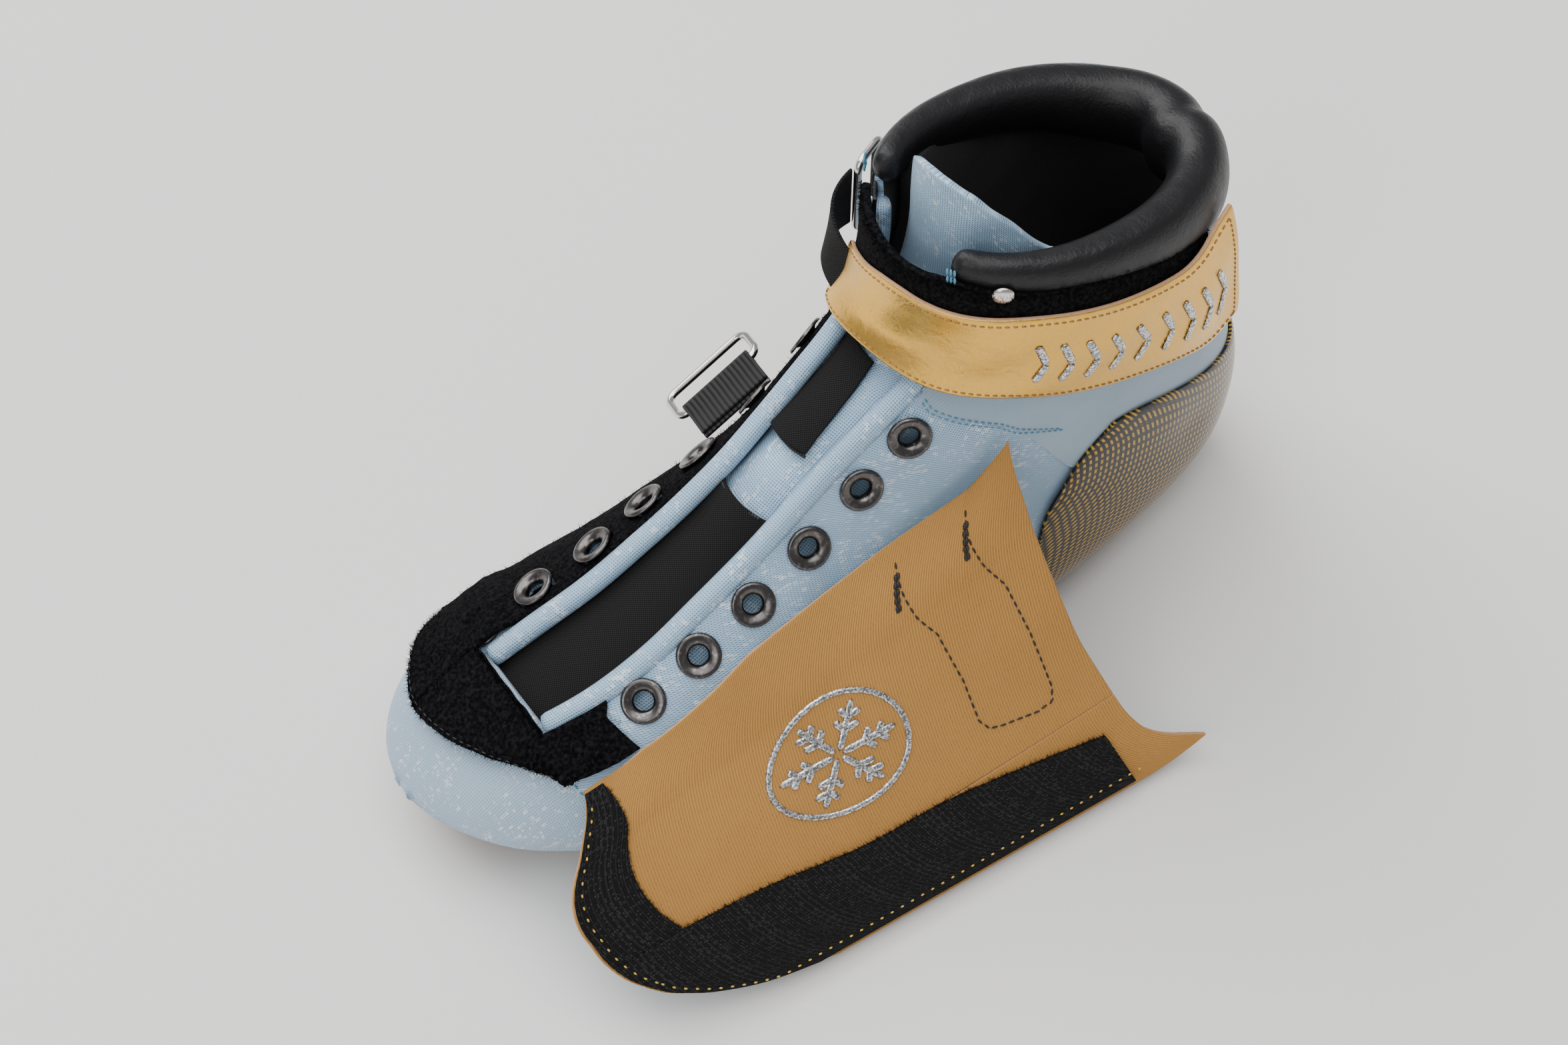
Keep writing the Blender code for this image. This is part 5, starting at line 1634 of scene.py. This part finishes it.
def cover_emblem():
    """A six-armed ice crystal in silver embroidery."""
    centre = (0.440, 0.365)
    length, width, ring = 0.140, 0.100, 0.0195

    def spoke(start, end, count=14):
        share = np.linspace(0, 1, count)[:, None]
        flat = np.array(start) * (1 - share) + np.array(end) * share
        u, v = centre[0] + flat[:, 0] / length, centre[1] + flat[:, 1] / width
        points, ups = cover_points(u, v, np.full(count, HALF_COVER + 0.0002))
        half_side, half_up = rounded(count, 0.0011, 0.15), rounded(count, 0.0005, 0.15)
        return tube("spoke", points, ups, half_side, half_up, "glitter", 10)

    def polar(radius, turn):
        return radius * math.cos(turn), radius * math.sin(turn)
    pieces = []
    for arm in range(6):
        turn = math.radians(60 * arm + 8)
        pieces.append(spoke(polar(0.001, turn), polar(0.0170, turn)))
        for place, reach in ((0.0075, 0.0045), (0.0115, 0.0040)):
            root = polar(place, turn)
            for side in (-1, 1):
                lean = turn + side * math.radians(55)
                tip = (root[0] + reach * math.cos(lean), root[1] + reach * math.sin(lean))
                pieces.append(spoke(root, tip, 8))
    turns = np.linspace(0, math.tau, 33)
    for start in (0, 16):
        arc = turns[start:start + 17]
        u, v = centre[0] + ring * np.cos(arc) / length, centre[1] + ring * np.sin(arc) / width
        points, ups = cover_points(u, v, np.full(17, HALF_COVER + 0.0002))
        pieces.append(tube("spoke", points, ups, 0.0009, 0.0005, "glitter", 10))
    fit(join(pieces, "cover_embroidery"), "cover", "cover_suede")


def instep_strap():
    """Webbing under the open cover, in two lengths that meet at the fold."""
    under = -HALF_COVER - LAYER_GAP

    def strap(name, across, body, node, rows):
        def place(first, second):
            u = 0.755 + 0.19 * second
            return on_cover(u, across[0] + (across[1] - across[0]) * first, under)
        piece = sheet(name, rows, 24, place, ("webbing",))
        fit(thicken(piece, WEBBING_WALL), body, "webbing", node)
    strap("instep_strap_tape", (0.10, COVER_FOLD - 0.006), "cover", "instep_strap", 70)
    strap("instep_strap_tip", (COVER_FOLD + 0.006, 0.95), "instep_strap_end", "instep_strap_end", 30)


# Seams of the upper

def upper_seams():
    """Double seam round the ankle, and the seams of the toe, the back, the throat and the loop patch."""
    lines = []
    for side in (1, -1):
        for shift in (0.0, 0.0075):
            rows = [(0.213 + shift, side * 30), (0.229 + shift, side * 35), (0.238 + shift, side * 45),
                    (0.243 + shift, side * 58), (0.255 + shift, side * 64), (0.262 + shift * 0.4, side * 76)]
            lines.append(skin_line(rows, 0.0008, 90))
    fit(stitches("ankle_seam", lines, "blue thread", 0.0021, 0.00026), "boot", "upper_fabric")
    toe_line = [skin_line([(THROAT_END + 0.008, side * angle) for angle in range(44, 106, 4)], 0.0002, 80)
                for side in (1, -1)]
    fit(stitches("toe_seam", toe_line, "blue thread", 0.0024), "boot", "upper_fabric")
    back = []
    for side in (1, -1):
        rows = [(0.07, 180 + side * 5), (0.15, 180 + side * 4), (0.235, 180 + side * 3.5)]
        back.append(skin_line(rows, 0.0008, 60))
    fit(stitches("back_seam", back, "blue thread", 0.0024), "boot", "upper_fabric")
    angle = np.linspace(-11.5, 12.5, 40)
    end = np.full(40, THROAT_END)
    throat = [(skin(end + 0.002, angle, -0.0038), outwards(end, angle))]
    fit(stitches("throat_seam", throat, "black thread", 0.0022, 0.0003), "boot", "upper_fabric")
    along, angle = on_patch(np.full(240, 0.985), np.linspace(0.0, 1.0, 240))
    patch = skin(along, angle, patch_out(along) - 0.0004), outwards(along, angle)
    fit(stitches("patch_seam", [patch], "black thread", 0.0026), "boot", "loop_pile")


# Stage

FLOOR_HALF = 6
CAMERA_TURN, CAMERA_LIFT, CAMERA_ROLL = math.radians(147.3), math.radians(55.9), math.radians(-2.5)
CAMERA_DISTANCE, CAMERA_LENS, CAMERA_SENSOR = 0.870, 70.0, 36.0
CAMERA_TARGET = np.array([-0.05412, 0, 0.060])
CAMERA_LEFT, CAMERA_DOWN = 0.006468, 0.000761
LAMPS_AIM = Vector((-0.05, 0, 0.05))
# Name, place, size in metres and power in watts of each soft light
LAMPS = (("window", (0.1, -1.4, 1.6), 1.7, 43), ("fill", (1.5, 0.7, 1.4), 1.2, 14),
         ("top", (-0.1, 0.2, 2.1), 1.8, 34))


def floor_sheet():
    shape = bmesh.new()
    bmesh.ops.create_grid(shape, x_segments=1, y_segments=1, size=FLOOR_HALF)
    mesh = bpy.data.meshes.new("floor")
    shape.to_mesh(mesh)
    shape.free()
    floor = bpy.data.objects.new("floor", mesh)
    bpy.context.scene.collection.objects.link(floor)
    paper = Finish("floor_paper", (0.82, 0.81, 0.79), 0.75, 0.0, Specular_IOR_Level=0.2)
    mesh.materials.append(paper.material)


def stand_camera():
    """Looks down at the boot's outer side from in front of the toe."""
    back = np.array([math.sin(CAMERA_TURN) * math.cos(CAMERA_LIFT),
                     -math.cos(CAMERA_TURN) * math.cos(CAMERA_LIFT), math.sin(CAMERA_LIFT)])
    level = np.array([math.cos(CAMERA_TURN), math.sin(CAMERA_TURN), 0.0])
    upright = np.cross(back, level)
    right = math.cos(CAMERA_ROLL) * level + math.sin(CAMERA_ROLL) * upright
    up = -math.sin(CAMERA_ROLL) * level + math.cos(CAMERA_ROLL) * upright
    pose = Matrix((right, up, back)).transposed().to_4x4()
    pose.translation = CAMERA_TARGET - right * CAMERA_LEFT - up * CAMERA_DOWN + back * CAMERA_DISTANCE
    camera = bpy.data.objects.new("camera", bpy.data.cameras.new("camera"))
    camera.data.lens, camera.data.sensor_width = CAMERA_LENS, CAMERA_SENSOR
    camera.matrix_world = pose
    bpy.context.scene.collection.objects.link(camera)
    bpy.context.scene.camera = camera


def light_studio():
    """An even pale room and three soft lights."""
    world = bpy.data.worlds.new("studio")
    world.use_nodes = True
    room = world.node_tree.nodes["Background"]
    room.inputs[0].default_value = (0.97, 0.97, 1.0, 1)
    room.inputs[1].default_value = 0.38
    bpy.context.scene.world = world
    for name, place, size, power in LAMPS:
        lamp = bpy.data.lights.new(name, "AREA")
        lamp.shape, lamp.size, lamp.energy = "SQUARE", size, power
        holder = bpy.data.objects.new(name, lamp)
        turn = (Vector(place) - LAMPS_AIM).to_track_quat("Z", "Y").to_matrix().to_4x4()
        holder.matrix_world = Matrix.Translation(place) @ turn
        bpy.context.scene.collection.objects.link(holder)


# Operators, one for each group of pieces

class SKATEBOOT_OT_stage(bpy.types.Operator):
    """Adds the floor, the camera and the lights"""
    bl_idname = "skateboot.stage"
    bl_label = "Stage"
    bl_options = {"REGISTER", "UNDO"}

    def execute(self, context):
        floor_sheet()
        stand_camera()
        light_studio()
        return {"FINISHED"}


class SKATEBOOT_OT_shell(bpy.types.Operator):
    """Builds the moulded shell, the footbed and the mounting blocks"""
    bl_idname = "skateboot.shell"
    bl_label = "Shell and Sole"
    bl_options = {"REGISTER", "UNDO"}

    def execute(self, context):
        carbon_shell()
        sole_pieces()
        return {"FINISHED"}


class SKATEBOOT_OT_upper(bpy.types.Operator):
    """Builds both quarters, the ankle panels, the toe, the linings and the piping"""
    bl_idname = "skateboot.upper"
    bl_label = "Upper"
    bl_options = {"REGISTER", "UNDO"}

    def execute(self, context):
        quarter("outer_quarter_cloth", True)
        quarter("inner_quarter_cloth", False)
        ankle_panel("outer_ankle_panel", True)
        ankle_panel("inner_ankle_panel", False)
        toe()
        linings()
        piping()
        return {"FINISHED"}


class SKATEBOOT_OT_collar(bpy.types.Operator):
    """Builds the padded collar and its seams"""
    bl_idname = "skateboot.collar"
    bl_label = "Collar"
    bl_options = {"REGISTER", "UNDO"}

    def execute(self, context):
        collar()
        return {"FINISHED"}


class SKATEBOOT_OT_tongue(bpy.types.Operator):
    """Builds the tongue and its tapes"""
    bl_idname = "skateboot.tongue"
    bl_label = "Tongue"
    bl_options = {"REGISTER", "UNDO"}

    def execute(self, context):
        tongue()
        tongue_tapes()
        return {"FINISHED"}


class SKATEBOOT_OT_patch(bpy.types.Operator):
    """Builds the napped patch round the throat"""
    bl_idname = "skateboot.patch"
    bl_label = "Loop Patch"
    bl_options = {"REGISTER", "UNDO"}

    def execute(self, context):
        loop_patch()
        return {"FINISHED"}


class SKATEBOOT_OT_eyelets(bpy.types.Operator):
    """Builds both rows of eyelets"""
    bl_idname = "skateboot.eyelets"
    bl_label = "Eyelets"
    bl_options = {"REGISTER", "UNDO"}

    def execute(self, context):
        eyelets()
        return {"FINISHED"}


class SKATEBOOT_OT_strap(bpy.types.Operator):
    """Builds the ankle strap and its base"""
    bl_idname = "skateboot.strap"
    bl_label = "Ankle Strap"
    bl_options = {"REGISTER", "UNDO"}

    def execute(self, context):
        ankle_strap()
        strap_sewing()
        return {"FINISHED"}


class SKATEBOOT_OT_rings(bpy.types.Operator):
    """Builds the two rings and their webbing"""
    bl_idname = "skateboot.rings"
    bl_label = "Rings"
    bl_options = {"REGISTER", "UNDO"}

    def execute(self, context):
        rings()
        return {"FINISHED"}


class SKATEBOOT_OT_cover(bpy.types.Operator):
    """Builds the lace cover, its hook tapes, embroidery and strap"""
    bl_idname = "skateboot.cover"
    bl_label = "Lace Cover"
    bl_options = {"REGISTER", "UNDO"}

    def execute(self, context):
        lace_cover()
        cover_stitching()
        cover_emblem()
        instep_strap()
        return {"FINISHED"}


class SKATEBOOT_OT_seams(bpy.types.Operator):
    """Sews the upper"""
    bl_idname = "skateboot.seams"
    bl_label = "Seams"
    bl_options = {"REGISTER", "UNDO"}

    def execute(self, context):
        upper_seams()
        return {"FINISHED"}


OPERATORS = (
    SKATEBOOT_OT_stage, SKATEBOOT_OT_shell, SKATEBOOT_OT_upper, SKATEBOOT_OT_collar, SKATEBOOT_OT_tongue,
    SKATEBOOT_OT_patch, SKATEBOOT_OT_eyelets, SKATEBOOT_OT_strap, SKATEBOOT_OT_rings, SKATEBOOT_OT_cover,
    SKATEBOOT_OT_seams,
)


class SKATEBOOT_PT_panel(bpy.types.Panel):
    """Lists the boot's sizes, colours and pieces."""
    bl_idname = "SKATEBOOT_PT_panel"
    bl_label = "Skate Boot"
    bl_space_type = "VIEW_3D"
    bl_region_type = "UI"
    bl_category = "Skate Boot"

    def draw(self, context):
        layout = self.layout
        for group in (context.scene.skate_boot_sizes, context.scene.skate_boot_colours):
            for name in group.__annotations__:
                layout.prop(group, name)
        for maker in OPERATORS:
            layout.operator(maker.bl_idname)


CLASSES = (SkateBootSizes, SkateBootColours, *OPERATORS, SKATEBOOT_PT_panel)


def register():
    for item in CLASSES:
        bpy.utils.register_class(item)
    bpy.types.Scene.skate_boot_sizes = bpy.props.PointerProperty(type=SkateBootSizes)
    bpy.types.Scene.skate_boot_colours = bpy.props.PointerProperty(type=SkateBootColours)


def unregister():
    del bpy.types.Scene.skate_boot_colours
    del bpy.types.Scene.skate_boot_sizes
    for item in reversed(CLASSES):
        bpy.utils.unregister_class(item)


def main():
    register()
    for maker in OPERATORS:
        group, name = maker.bl_idname.split(".")
        getattr(getattr(bpy.ops, group), name)()
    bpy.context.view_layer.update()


if __name__ == "__main__":
    main()
